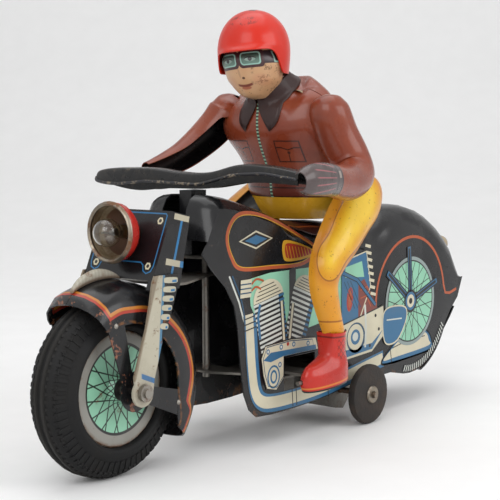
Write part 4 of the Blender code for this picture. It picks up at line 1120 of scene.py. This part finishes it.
dress_all(("cell_lower", "cell_upper"), cell_wrap())

# A side wheel of grey rubber at each end of the driven axle carries the back of the toy.
# Each is held by a pale pressed washer on the axle's rusty stub.


def drive_rubber():
    rubber = Finish("drive_rubber")
    wear = rubber.noise(150, 5).ramp(0.35, 0.75)
    rubber.bump(rubber.noise(800, 3) + wear, 0.3, 0.0004)
    return rubber.done(Base_Color=rubber.mix(wear, "1f1a17", "3a3029"), Roughness=0.7 + 0.15 * wear)


dress_all(("drive_wheel_left", "drive_wheel_right"), drive_rubber())
dress("drive_axle", bare_metal("rusty_stub", "7d6a55", 0.3))
for name in ("axle_washer_left", "axle_washer_right"):
    dress(name, bare_metal(name + "_tin", "8a7c68", 0.2))

# The rider's trunk is two pressings, front and back, tabbed together at the shoulders. The
# brown jacket, its zip, pockets and belt are printed, with dark shading sprayed in the folds.


def jacket(name):
    coat = lacquer(name, "80361f", 0.06, 0.26, "4b3a30")
    coat.paint(coat.noise(45, 4).ramp(0.35, 0.75) * 0.55, "9a4e30")
    coat.paint(coat.noise(28, 3).ramp(0.5, 0.72) * 0.45, "4c2a2e")
    return coat


def trunk_print():
    coat = jacket("jacket_trunk")
    front = coat.x.ramp(-122, -118)
    # Painted shade: the jacket darkens towards its bottom, just above the belt.
    coat.paint(coat.z.fall(117, 128) * 0.6, "46231f")
    side_y = abs(coat.y)
    across = side_y - 13.6
    pocket_out = (abs(across) - 5.6).top(abs(coat.z - 133.8) - 4.8)
    pocket = pocket_out.fall(-0.1, 0.1)
    flap = (coat.z - 135.6 + 0.35 * (3 - abs(across)).top(0)).near(0.18, 0.36) * pocket
    button = (across * across + (coat.z - 133.2) * (coat.z - 133.2)).fall(0.25, 0.6)
    fold = (across - (coat.z - 134) * 0.1).near(0.12, 0.3) * pocket * coat.z.fall(132.2, 132.8)
    belt = (coat.z - 116.6).near(0.2, 0.45).top((coat.z - 112.2).near(0.2, 0.5))
    lines = pocket_out.near(0.18, 0.38).top(flap).top(button).top(fold).top(belt)
    coat.paint(lines * front.top(belt) * 0.9, "251514")
    teeth = (coat.z * 0.62).swing().ramp(0.2, 0.28)
    coat.paint(side_y.fall(0.55, 0.8) * front, coat.mix(teeth, "8fb59a", "1c2a24"))
    coat.paint(coat.z.fall(111.8, 112.2), coat.mix(coat.noise(40, 4), "d3931a", "e6b636"))
    return coat.coated(0.2)


def ease(value, low, high):
    """0 below the first value, 1 above the second, eased between them."""
    share = min(max((value - low) / (high - low), 0), 1)
    return share * share * (3 - 2 * share)


def broad_shoulders(spot):
    """The shoulders fuller and lifted, and the back filled up behind the neck."""
    fuller, lift = (0.2, 1.2) if spot.y < 0 else (0.075, 4.2)
    wider = 1 + fuller * ease(spot.z, 128, 144) * (1 - ease(spot.z, 154, 161))
    lift *= ease(abs(spot.y), 13.5, 20.5) * ease(spot.z, 146, 156)
    off = math.hypot(spot.x + 112, spot.y)
    lift = max(lift, 4.6 * ease(-spot.x, 112, 121) * ease(spot.z, 146, 158) * ease(off, 13, 18))
    return Vector((spot.x, spot.y * wider, spot.z + lift))


JACKET = trunk_print()
for name in ("torso_front", "torso_back"):
    smooth_dress(name, JACKET, 55, form=broad_shoulders)

# The collar is a dark brown fold round the neck that comes down to two points in front.
# A bent tab of bare tin closes each shoulder seam.
TRUNK = [
    (131, -124.4, 18.2, 26.4, 0.18), (140, -120.2, 18, 27.6, 0.28), (148, -117.4, 17.6, 28.2, 0.38),
    (153.5, -115.8, 16.6, 26.8, 0.46), (157.6, -114.4, 15, 21.5, 0.52), (160.6, -113, 13.2, 15, 0.55),
    (162.6, -112.2, 11.8, 11.3, 0.56), (164.4, -109.6, 10.6, 10.6, 0.52), (166.2, -106.6, 9.2, 9.6, 0.46),
]


def on_trunk(turn, level, out):
    """A spot on the trunk: angle from the front, level along its rows, and mm outwards."""
    low = min(int(level), len(TRUNK) - 2)
    share = level - low
    row = [a + (b - a) * share for a, b in zip(TRUNK[low], TRUNK[low + 1])]
    z, x, depth, width, slope = row
    a = math.radians(turn)
    u = (depth + out) * math.cos(a)
    v = (width + out) * math.sin(a)
    return Vector((x + u, v, z - slope * u + out * 0.35))


def sheet(name, rows, thick):
    """A closed sheet of this thickness from rows of points in mm."""
    work = bmesh.new()
    skinned(work, [[work.verts.new(metres(p)) for p in row] for row in rows])
    bmesh.ops.recalc_face_normals(work, faces=work.faces)
    bmesh.ops.solidify(work, geom=work.faces[:], thickness=thick * 0.001)
    return made(name, work)


def collar_foot(turn):
    """Level of the collar's lower edge: a deep point in front, a narrow fold behind."""
    stops = [(3, 5.6), (14, 2.3), (22, 2.9), (36, 4.3), (52, 5.2), (80, 5.8), (180, 6)]
    for (a, low), (b, high) in zip(stops, stops[1:]):
        if turn <= b:
            return low + (high - low) * (turn - a) / (b - a)
    return 6


folds = []
for side in (-1, 1):
    rows = []
    for i in range(45):
        turn = 3 + 177 * (i / 44) ** 1.25
        foot = collar_foot(turn)
        stand = Vector((0, 0, 2.2 * ease(turn, 55, 100)))
        rows.append([on_trunk(side * turn, foot + (8 - foot) * k / 8, 0.5 + 0.3 * (1 - k / 8))
                     + stand * (k / 8) ** 2 for k in range(9)])
    folds.append(sheet("collar_fold", rows, 0.25))
settle("collar", joined("collar", folds), plain_lacquer("collar_print", "2c1512", 0.05, 0.5), "rider")
tabs = []
for side in (-1, 1):
    rows = []
    for along, rise in ((-2.8, 0.6), (-1.8, 1.3), (0, 1.6), (1.8, 1.3), (2.8, 0.6)):
        y = 15.6 + along
        foot = 160.55 - (y - 15) * 0.46
        rows.append([Vector((-113.2 - 0.2 * along + w, side * y, foot + rise)) for w in (-1.4, -0.5, 0.5, 1.4)])
    tabs.append(sheet("shoulder_tab", rows, 0.3))
settle("shoulder_tabs", joined("shoulder_tabs", tabs), bare_metal("tab_tin", "a58a5c", 0.1), "rider")

# The head is one pressing with a printed face: goggles with dark frames and pale rims, and
# a small calm mouth. It is turned a little to the left and set in the collar.
HEAD_SIN = math.sin(math.radians(20))
HEAD_COS = math.cos(math.radians(20))


def on_face(coat):
    """Depth towards the face and the way across it, in mm."""
    ahead = coat.x + 98
    return ahead * HEAD_COS + coat.y * HEAD_SIN, coat.y * HEAD_COS - ahead * HEAD_SIN


def oval_mask(across, up, wide, high, soft=0.12):
    spread = (across / wide) * (across / wide) + (up / high) * (up / high)
    return spread.fall(1 - soft, 1 + soft)


def box_mask(across, up, wide, high, corner):
    """A rounded box: 1 inside, 0 outside."""
    a = (abs(across) - (wide - corner)).top(0)
    b = (abs(up) - (high - corner)).top(0)
    return (length(a, b) - corner).fall(-0.12, 0.12)


def face_print():
    skin = Finish("face_print")
    depth, across = on_face(skin)
    across = across + 0.21 * (skin.z - 163.5)
    up = skin.z - 0.09 * across
    front = depth.ramp(1, 3)
    skin.base = skin.mix(skin.noise(60, 3), "c4946a", "d2aa82")
    pits = skin.noise(420, 6, 0.72)
    pits = pits.ramp(0.62, 0.68).top(pits.ramp(0.53, 0.62) * across.ramp(1, 8))
    skin.paint(pits * 0.7, "5b4028")
    skin.paint(oval_mask(abs(across) - 7.6, up - 166, 3.4, 2.6, 0.8) * 0.3 * front, "c07a5a")
    skin.paint(oval_mask(across, up - 163, 2.3, 0.8, 0.3) * front * 0.8, "a4523f")
    smile = up - 163.9 - across * across * 0.05
    skin.paint(smile.near(0.35, 0.7) * across.near(3.1, 4) * front, "7c3f33")
    # A small dark mark at the tip of the nose, and above it a faint line up the nose's side that is painted shade
    # standing in for the nose's relief.
    nose = oval_mask(across - 0.3, up - 167.3, 0.75, 0.55, 0.4)
    bridge_shade = oval_mask(across + 1.2, up - 169.6, 0.5, 2.2, 0.5) * 0.25
    skin.paint(nose.top(bridge_shade) * front, "5a3a28")
    rise = up - 175.8
    skin.paint(box_mask(across * 0, rise, 1, 2.9, 0.2), "2f2226")
    buckle = box_mask(depth - 7.4, rise, 1.7, 2.7, 0.8) * across.ramp(6, 7)
    skin.paint(buckle * (1 - box_mask(depth - 7.4, rise, 1, 2, 0.6)), "8fb3a6")
    eye = abs(across) - 5.75
    rise = up - 175.6
    haze = skin.mix(rise.ramp(-2.4, 2.4), "5f7c70", "2f3f37")
    for wide, high, corner, tone in ((5.8, 4.1, 2, "3f1f22"), (4.6, 2.9, 1.5, "93bdb0"), (4.05, 2.35, 1.2, haze)):
        skin.paint(box_mask(eye, rise, wide, high, corner) * front, tone)
    skin.paint(oval_mask(eye, up - 175.3, 2.4, 0.95, 0.3) * front * 0.7, "8fa79c")
    iris = oval_mask(eye, up - 175.4, 0.95, 0.95)
    lid = (up - 176.3 + eye * eye * 0.09).near(0.15, 0.35) * eye.near(2.5, 2.9)
    skin.paint(iris.top(lid) * front, "15191a")
    skin.gloss = 0.38 + 0.3 * pits
    return skin.coated(0.15)


def narrow_chin(spot):
    """The jaw drawn in towards a round chin, the goggles a little proud of the face."""
    slim = 0.6 + 0.4 * ease(spot.z, 158.5, 167.5)
    lower = 1.2 * (1 - ease(spot.z, 159, 166))
    bulge = 1.7 * math.exp(-(((spot.z - 175) / 4.5) ** 2)) * ease(on_face(spot)[0], -1, 4)
    out = Vector((spot.x + 98.5, spot.y, 0)).normalized() * bulge
    return Vector((-98.5 + (spot.x + 98.5) * (0.75 + 0.25 * slim), spot.y * slim, spot.z - lower)) + out


smooth_dress("head", face_print(), 70, 3, narrow_chin)

# The helmet is a red bowl with a flap over each ear and a small peak, and a slot in its
# crown where the pressing was held. Its lacquer is scratched dark on the forehead.


def helmet_paint():
    coat = lacquer("helmet_paint", "cf2610", 0.07, 0.3, "5a1a14")
    depth, across = on_face(coat)
    coat.paint(box_mask(across - 0.5, depth - 3, 1.6, 3, 0.4) * coat.z.ramp(195.4, 196.2), "1d1412")
    scratch = coat.noise(320, 6, 0.75).ramp(0.5, 0.56) * oval_mask(across + 1, coat.z - 193, 6.5, 2.2, 0.6)
    coat.paint(scratch * depth.ramp(2, 5) * 0.8, "3d1512")
    # Painted shade: the inside of the bowl, below the crown, is painted dark maroon.
    inside = ((coat.x + 97.5) ** 2 / 310 + coat.y * coat.y / 225).fall(0.86, 0.9)
    coat.paint(inside * coat.z.fall(183, 186), "2a1512")
    return coat.coated(0.12)


def helmet_form(spot):
    """The bowl a little fuller, its rim lifted off the brow and rolled out into a peak."""
    depth, across = on_face(spot)
    out = Vector((spot.x + 97.5, spot.y, 0))
    out = out / max(out.length, 4)
    tilt = 1.7 + 0.09 * across
    lift = ease(depth, 3, 8) * (1 - ease(spot.z, 177, 185)) * tilt
    over = spot.z + lift - 177.6 - tilt
    peak = 1.1 * math.exp(-(((over - 0.8) / 1.7) ** 2)) * ease(depth, 5, 10)
    peak = peak * (1 - ease(abs(across), 6, 12))
    top = 0.5 * ease(spot.z, 184, 197)
    return spot + out * (0.8 + peak) + Vector((0, 0, lift + top))


smooth_dress("helmet", helmet_paint(), 60, 3, helmet_form)

# The arms are half shells, open and black on the side of the trunk. The left one ends in a
# grey glove round the end of the bar; the right sleeve ends behind the bar.
ARM_LEFT = [
    (-113.2, 29.6, 160, 0.4, 0.4), (-113.4, 29.9, 158, 6.2, 6.6), (-114.6, 30.3, 152.5, 9.4, 9.6),
    (-118.5, 32.2, 141.5, 9.8, 10), (-122, 36, 131, 9.9, 9.9), (-119.5, 41, 123.4, 9.6, 9.4),
    (-108, 46, 120.6, 8.8, 8.6), (-95, 50.6, 120.8, 7.6, 7.8), (-83, 55, 122.2, 6.3, 7.2),
    (-70, 59, 123.2, 5.2, 7.2), (-60, 59.3, 123, 4.9, 6.4), (-54.5, 59.5, 122.6, 3.6, 4.2),
]
ARM_RIGHT = [
    (-112.6, -25.4, 160.6, 0.4, 0.4), (-112.8, -26.4, 158.4, 6.8, 7.2), (-112.4, -28.4, 152.4, 9.8, 10),
    (-107.8, -32, 145, 9.6, 9.4), (-100, -36, 137.5, 8.6, 8.2), (-91, -39, 131.4, 7.6, 7),
    (-82, -41.5, 127.8, 6, 5.8), (-75, -43, 126, 4.5, 4.6), (-70, -43.5, 125.5, 3.4, 3.4),
]


def half_shell(node, stations, side, first, last, material, count=25):
    """A limb as a pressed sheet round part of its line; the faces inside it are marked."""
    line = curve(stations, steps=5)
    path = [Vector(station[:3]) for station in line]
    work = bmesh.new()
    mark = work.faces.layers.float.new("inner")
    outer = []
    inner = []
    for i, station in enumerate(line):
        out, across = station[3:]
        u, v = across_line(path, i, Vector((0, side, 0)))
        start = first - 62 * (1 - ease(i, 7, 14)) if first < -110 else first
        turns = [math.radians(start + (last - start) * k / (count - 1)) for k in range(count)]
        for rows, less in ((outer, 0), (inner, 0.42)):
            wide = u * max(out - less, 0.1)
            high = v * max(across - less, 0.1)
            rows.append([work.verts.new(metres(path[i] + wide * math.cos(t) + high * math.sin(t))) for t in turns])
    skinned(work, outer)
    for face in skinned(work, inner):
        face[mark] = 1
    rims = [(outer[0], inner[0]), (outer[-1], inner[-1])]
    rims += [([row[k] for row in outer], [row[k] for row in inner]) for k in (0, -1)]
    for rim in rims:
        for face in skinned(work, rim):
            for edge in face.edges:
                edge.smooth = False
    put_on(node, node + "_shell", made(node + "_shell", work), material)


def with_inside(coat):
    """The limb's material, black on the faces inside it."""
    inner = coat.add("ShaderNodeAttribute", {"attribute_name": "inner"}, {}, "Fac")
    coat.paint(inner.ramp(0.4, 0.6), "141213")
    return coat.coated(0.2)


def left_sleeve():
    coat = jacket("left_sleeve")
    sleeve = coat.base
    coat.base = coat.mix(coat.noise(180, 4), "4a3f40", "5f5452")
    fan = (coat.z - 122.6) / (1.6 + (coat.x + 84) * 0.075)
    fingers = fan.swing().fall(0.06, 0.12) * coat.x.ramp(-76, -75.4) * coat.x.fall(-62, -60)
    coat.paint(fingers * 0.75, "a8666a")
    coat.paint((coat.x + 82.4).near(0.4, 0.7).top((coat.x + 77.6).near(0.25, 0.5)), "241c1f")
    coat.paint(box_mask(coat.x + 80, coat.z - 125, 1.1, 1.5, 0.5), "9a8f86")
    coat.base = coat.mix(coat.x.ramp(-83.4, -83), sleeve, coat.base)
    fold = coat.x * 0.5 + coat.z + 62 + 1.5 * coat.noise(40, 3)
    coat.paint((abs(fold) - 2).near(0.15, 0.4) * (coat.x + 121).near(3, 8) * 0.6, "3a1c18")
    return with_inside(coat)


half_shell("arm_left", ARM_LEFT, 1, -96, 128, left_sleeve())
half_shell("arm_right", ARM_RIGHT, -1, -130, 96, with_inside(jacket("right_sleeve")))

# The legs are yellow half shells with orange shading and seam lines, set into red boots
# that are closed pressings with printed laces and a dark sole.
LEG = [
    (-152, 24, 120, 0.4, 0.4), (-150.6, 24.8, 117.6, 8.4, 9), (-143, 26.6, 110, 11.6, 12.6),
    (-129, 29.6, 101.6, 12, 12.6), (-116, 32.6, 92.6, 11.6, 11.4), (-105.6, 34.6, 83.4, 9.8, 9.6),
    (-102.6, 35, 74, 7.9, 7.6), (-105.8, 35, 63, 6.9, 6.5), (-111, 35.3, 50.4, 5.6, 5.6),
]


def seen_flat(coat):
    """The way ahead and up along the outside of the leg, as it is seen from the side."""
    out = abs(coat.y) - 45
    return coat.x - out * 1.21, coat.z - out * 0.15


def trousers():
    coat = lacquer("trouser_print", "e09a24", 0.06, 0.3, "6b4a20")
    ahead, up = seen_flat(coat)
    share = ((ahead + 125) * 0.738 - (up - 112) * 0.674).ramp(0, 38.6)
    off = length(ahead + 125 - share * 28.5, up - 112 + share * 26) - 13 + share * 3.4
    thigh = off.fall(-0.2, 0.2)
    cloud = coat.noise(40, 4).ramp(0.35, 0.8)
    coat.paint(cloud * 0.6, "c97a1c")
    # Inside the printed thigh: deeper yellow at its edge and paler yellow along its middle, a painted highlight,
    # broken up by the mottling.
    coat.paint(thigh, coat.mix((off * -1 + 4 * cloud).ramp(1, 11), "d9971a", "f0c83c"))
    coat.paint(off.near(0.2, 0.5) * ahead.ramp(-128, -120) * 0.75, "6b3a14")
    # Painted shade: a darker orange band just outside the thigh's edge, under the thigh.
    coat.paint((1 - thigh) * off.fall(0, 5) * 0.45, "b0601a")
    coat.paint(coat.noise(520, 6, 0.75).ramp(0.6, 0.67), "6f3f1a")
    coat.paint((coat.z - 56.6).near(0.3, 0.5) * 0.8, "8a4a18")
    return with_inside(coat)


TROUSERS = trousers()
for name, side in (("leg_left", 1), ("leg_right", -1)):
    line = [(x, y * side, z, out, across) for x, y, z, out, across in LEG]
    half_shell(name, line, side, -100, 100, TROUSERS)


def boot_print():
    coat = lacquer("boot_print", "c02c20", 0.07, 0.26, "5a1f16")
    ahead, up = seen_flat(coat)
    cross = ((ahead + up) * 0.3).swing().fall(0.05, 0.1)
    back = ((ahead - up) * 0.3).swing().fall(0.05, 0.1)
    coat.paint(cross.top(back) * box_mask(ahead + 105.5, up - 44, 3, 4.6, 0.5) * 0.8, "5a1a12")
    # Painted shade: the boot darker red towards its foot, in mottled patches.
    coat.paint(coat.z.fall(36, 47) * coat.noise(50, 3).ramp(0.3, 0.8) * 0.35, "7e1712")
    coat.paint((coat.z - 49.2).near(0.3, 0.5) * 0.8, "5c1712")
    sole = coat.z + 0.085 * (coat.x + 105)
    coat.paint((sole - 28.6).near(0.3, 0.5), "d07a2c")
    coat.paint(sole.fall(27.4, 27.7), "1e1917")
    return coat.coated(0.2)


# Height in mm, then the front and the back of the loft and of the finished boot.
BOOT_ROWS = [
    (23.5, -89.5, -122.5, -89.4, -120), (26, -89.5, -122.5, -88.6, -120.4),
    (30, -92, -122, -88.2, -120.2), (34, -97, -121, -88.4, -119.4),
    (36.5, -99.5, -120.5, -89.6, -118.8), (37.8, -100.8, -120.2, -92.2, -118.5),
    (39, -102, -120, -98.6, -118.2), (40.8, -102.1, -119.9, -103.2, -118),
    (46, -102.4, -119.6, -104.2, -117.5), (51, -101.3, -119.7, -104.6, -117.4),
]


def boot_form(spot):
    """A slim shaft over a blocky toe, the heel lifted, and the bore of its pin left in place."""
    for low, high in zip(BOOT_ROWS, BOOT_ROWS[1:]):
        if spot.z <= high[0]:
            break
    part = min(max((spot.z - low[0]) / (high[0] - low[0]), 0), 1)
    front, back, new_front, new_back = [a + (b - a) * part for a, b in zip(low[1:], high[1:])]
    run = spot.x + 105
    run *= (new_front + 105) / (front + 105) if run > 0 else (new_back + 105) / (back + 105)
    slim = 1 - 0.25 * ease(spot.z, 34, 41)
    side = math.copysign(35.5, spot.y)
    below = 1 - ease(spot.z, 23.5, 28.6)
    above = ease(spot.z, 31.6, 35) * (1 - ease(spot.z, 36, 46))
    rise = 3.2 * below - 0.085 * run * (below + above)
    return Vector((run - 105, side + (spot.y - side) * slim, spot.z + rise))


BOOT_PRINT = boot_print()
for name in ("boot_left", "boot_right"):
    smooth_dress(name, BOOT_PRINT, 45, 2, boot_form)

# The studio: a white sweep of paper that the toy stands on, soft light from both sides
# and above, and the camera where the photograph was taken from.


def studio_paper():
    paper = Finish("studio_paper")
    return paper.done(Base_Color=paper.mix(paper.noise(40, 3), "f4f4f4", "fafafa"), Roughness=0.9)


def sweep_of_paper():
    rows = [(-1.6, 0), (0.5, 0), (0.75, 0.02), (0.95, 0.09), (1.1, 0.22), (1.2, 0.4), (1.24, 1.6)]
    away = Vector((-0.77, -0.635, 0)).normalized()
    side = Vector((away.y, -away.x, 0))
    mesh = bpy.data.meshes.new("paper_sweep")
    points = [away * d + side * w + Vector((0, 0, h)) for d, h in rows for w in (-2.4, 2.4)]
    faces = [(2 * i, 2 * i + 2, 2 * i + 3, 2 * i + 1) for i in range(len(rows) - 1)]
    mesh.from_pydata(points, [], faces)
    work = bmesh.new()
    work.from_mesh(mesh)
    for face in work.faces:
        face.smooth = True
        if face.normal.z < -0.01:
            face.normal_flip()
    work.to_mesh(mesh)
    work.free()
    mesh.materials.append(studio_paper())
    paper = bpy.data.objects.new("paper_sweep", mesh)
    bpy.context.scene.collection.objects.link(paper)


sweep_of_paper()


def soft_box(name, place, aim, size, power):
    lamp = bpy.data.lights.new(name, "AREA")
    lamp.shape = "RECTANGLE"
    lamp.size = size[0]
    lamp.size_y = size[1]
    lamp.energy = power
    holder = bpy.data.objects.new(name, lamp)
    holder.location = place
    holder.rotation_euler = (Vector(aim) - Vector(place)).to_track_quat("-Z", "Y").to_euler()
    bpy.context.scene.collection.objects.link(holder)


soft_box("soft_box_front", (0.95, 0.35, 0.75), (0, 0, 0.08), (0.7, 0.7), 4.8)
soft_box("soft_box_left", (-0.25, 1, 0.6), (0, 0, 0.08), (0.8, 0.6), 4.6)
soft_box("soft_box_above", (-0.05, -0.1, 1.1), (0, 0, 0), (1, 1), 4.8)

world = bpy.data.worlds.new("white_room")
bpy.context.scene.world = world
world.use_nodes = True
sky = world.node_tree.nodes["Background"]
ROOM_LIGHT = 0.44
sky.inputs["Color"].default_value = (1, 1, 1, 1)
rays = world.node_tree.nodes.new("ShaderNodeLightPath")
level = None
for kind in ("Is Camera Ray", "Is Glossy Ray", "Is Transmission Ray"):
    bright = world.node_tree.nodes.new("ShaderNodeMath")
    bright.operation = "MAXIMUM"
    world.node_tree.links.new(rays.outputs[kind], bright.inputs[0])
    bright.inputs[1].default_value = ROOM_LIGHT
    if level:
        world.node_tree.links.new(level, bright.inputs[1])
    level = bright.outputs[0]
world.node_tree.links.new(level, sky.inputs["Strength"])

lens = bpy.data.cameras.new("photo_camera")
lens.lens = 95.845
lens.sensor_width = 36
camera = bpy.data.objects.new("photo_camera", lens)
ahead = Vector((-0.76766, -0.63390, -0.09422))
right = Vector((-0.63643, 0.77132, -0.00397))
up = Vector((-0.07519, -0.05691, 0.99554))
turn = Matrix((right, up, -ahead)).transposed().to_4x4()
camera.matrix_world = Matrix.Translation((0.497357, 0.393955, 0.146556)) @ turn
bpy.context.scene.collection.objects.link(camera)
bpy.context.scene.camera = camera
bpy.context.scene.view_settings.view_transform = "Standard"
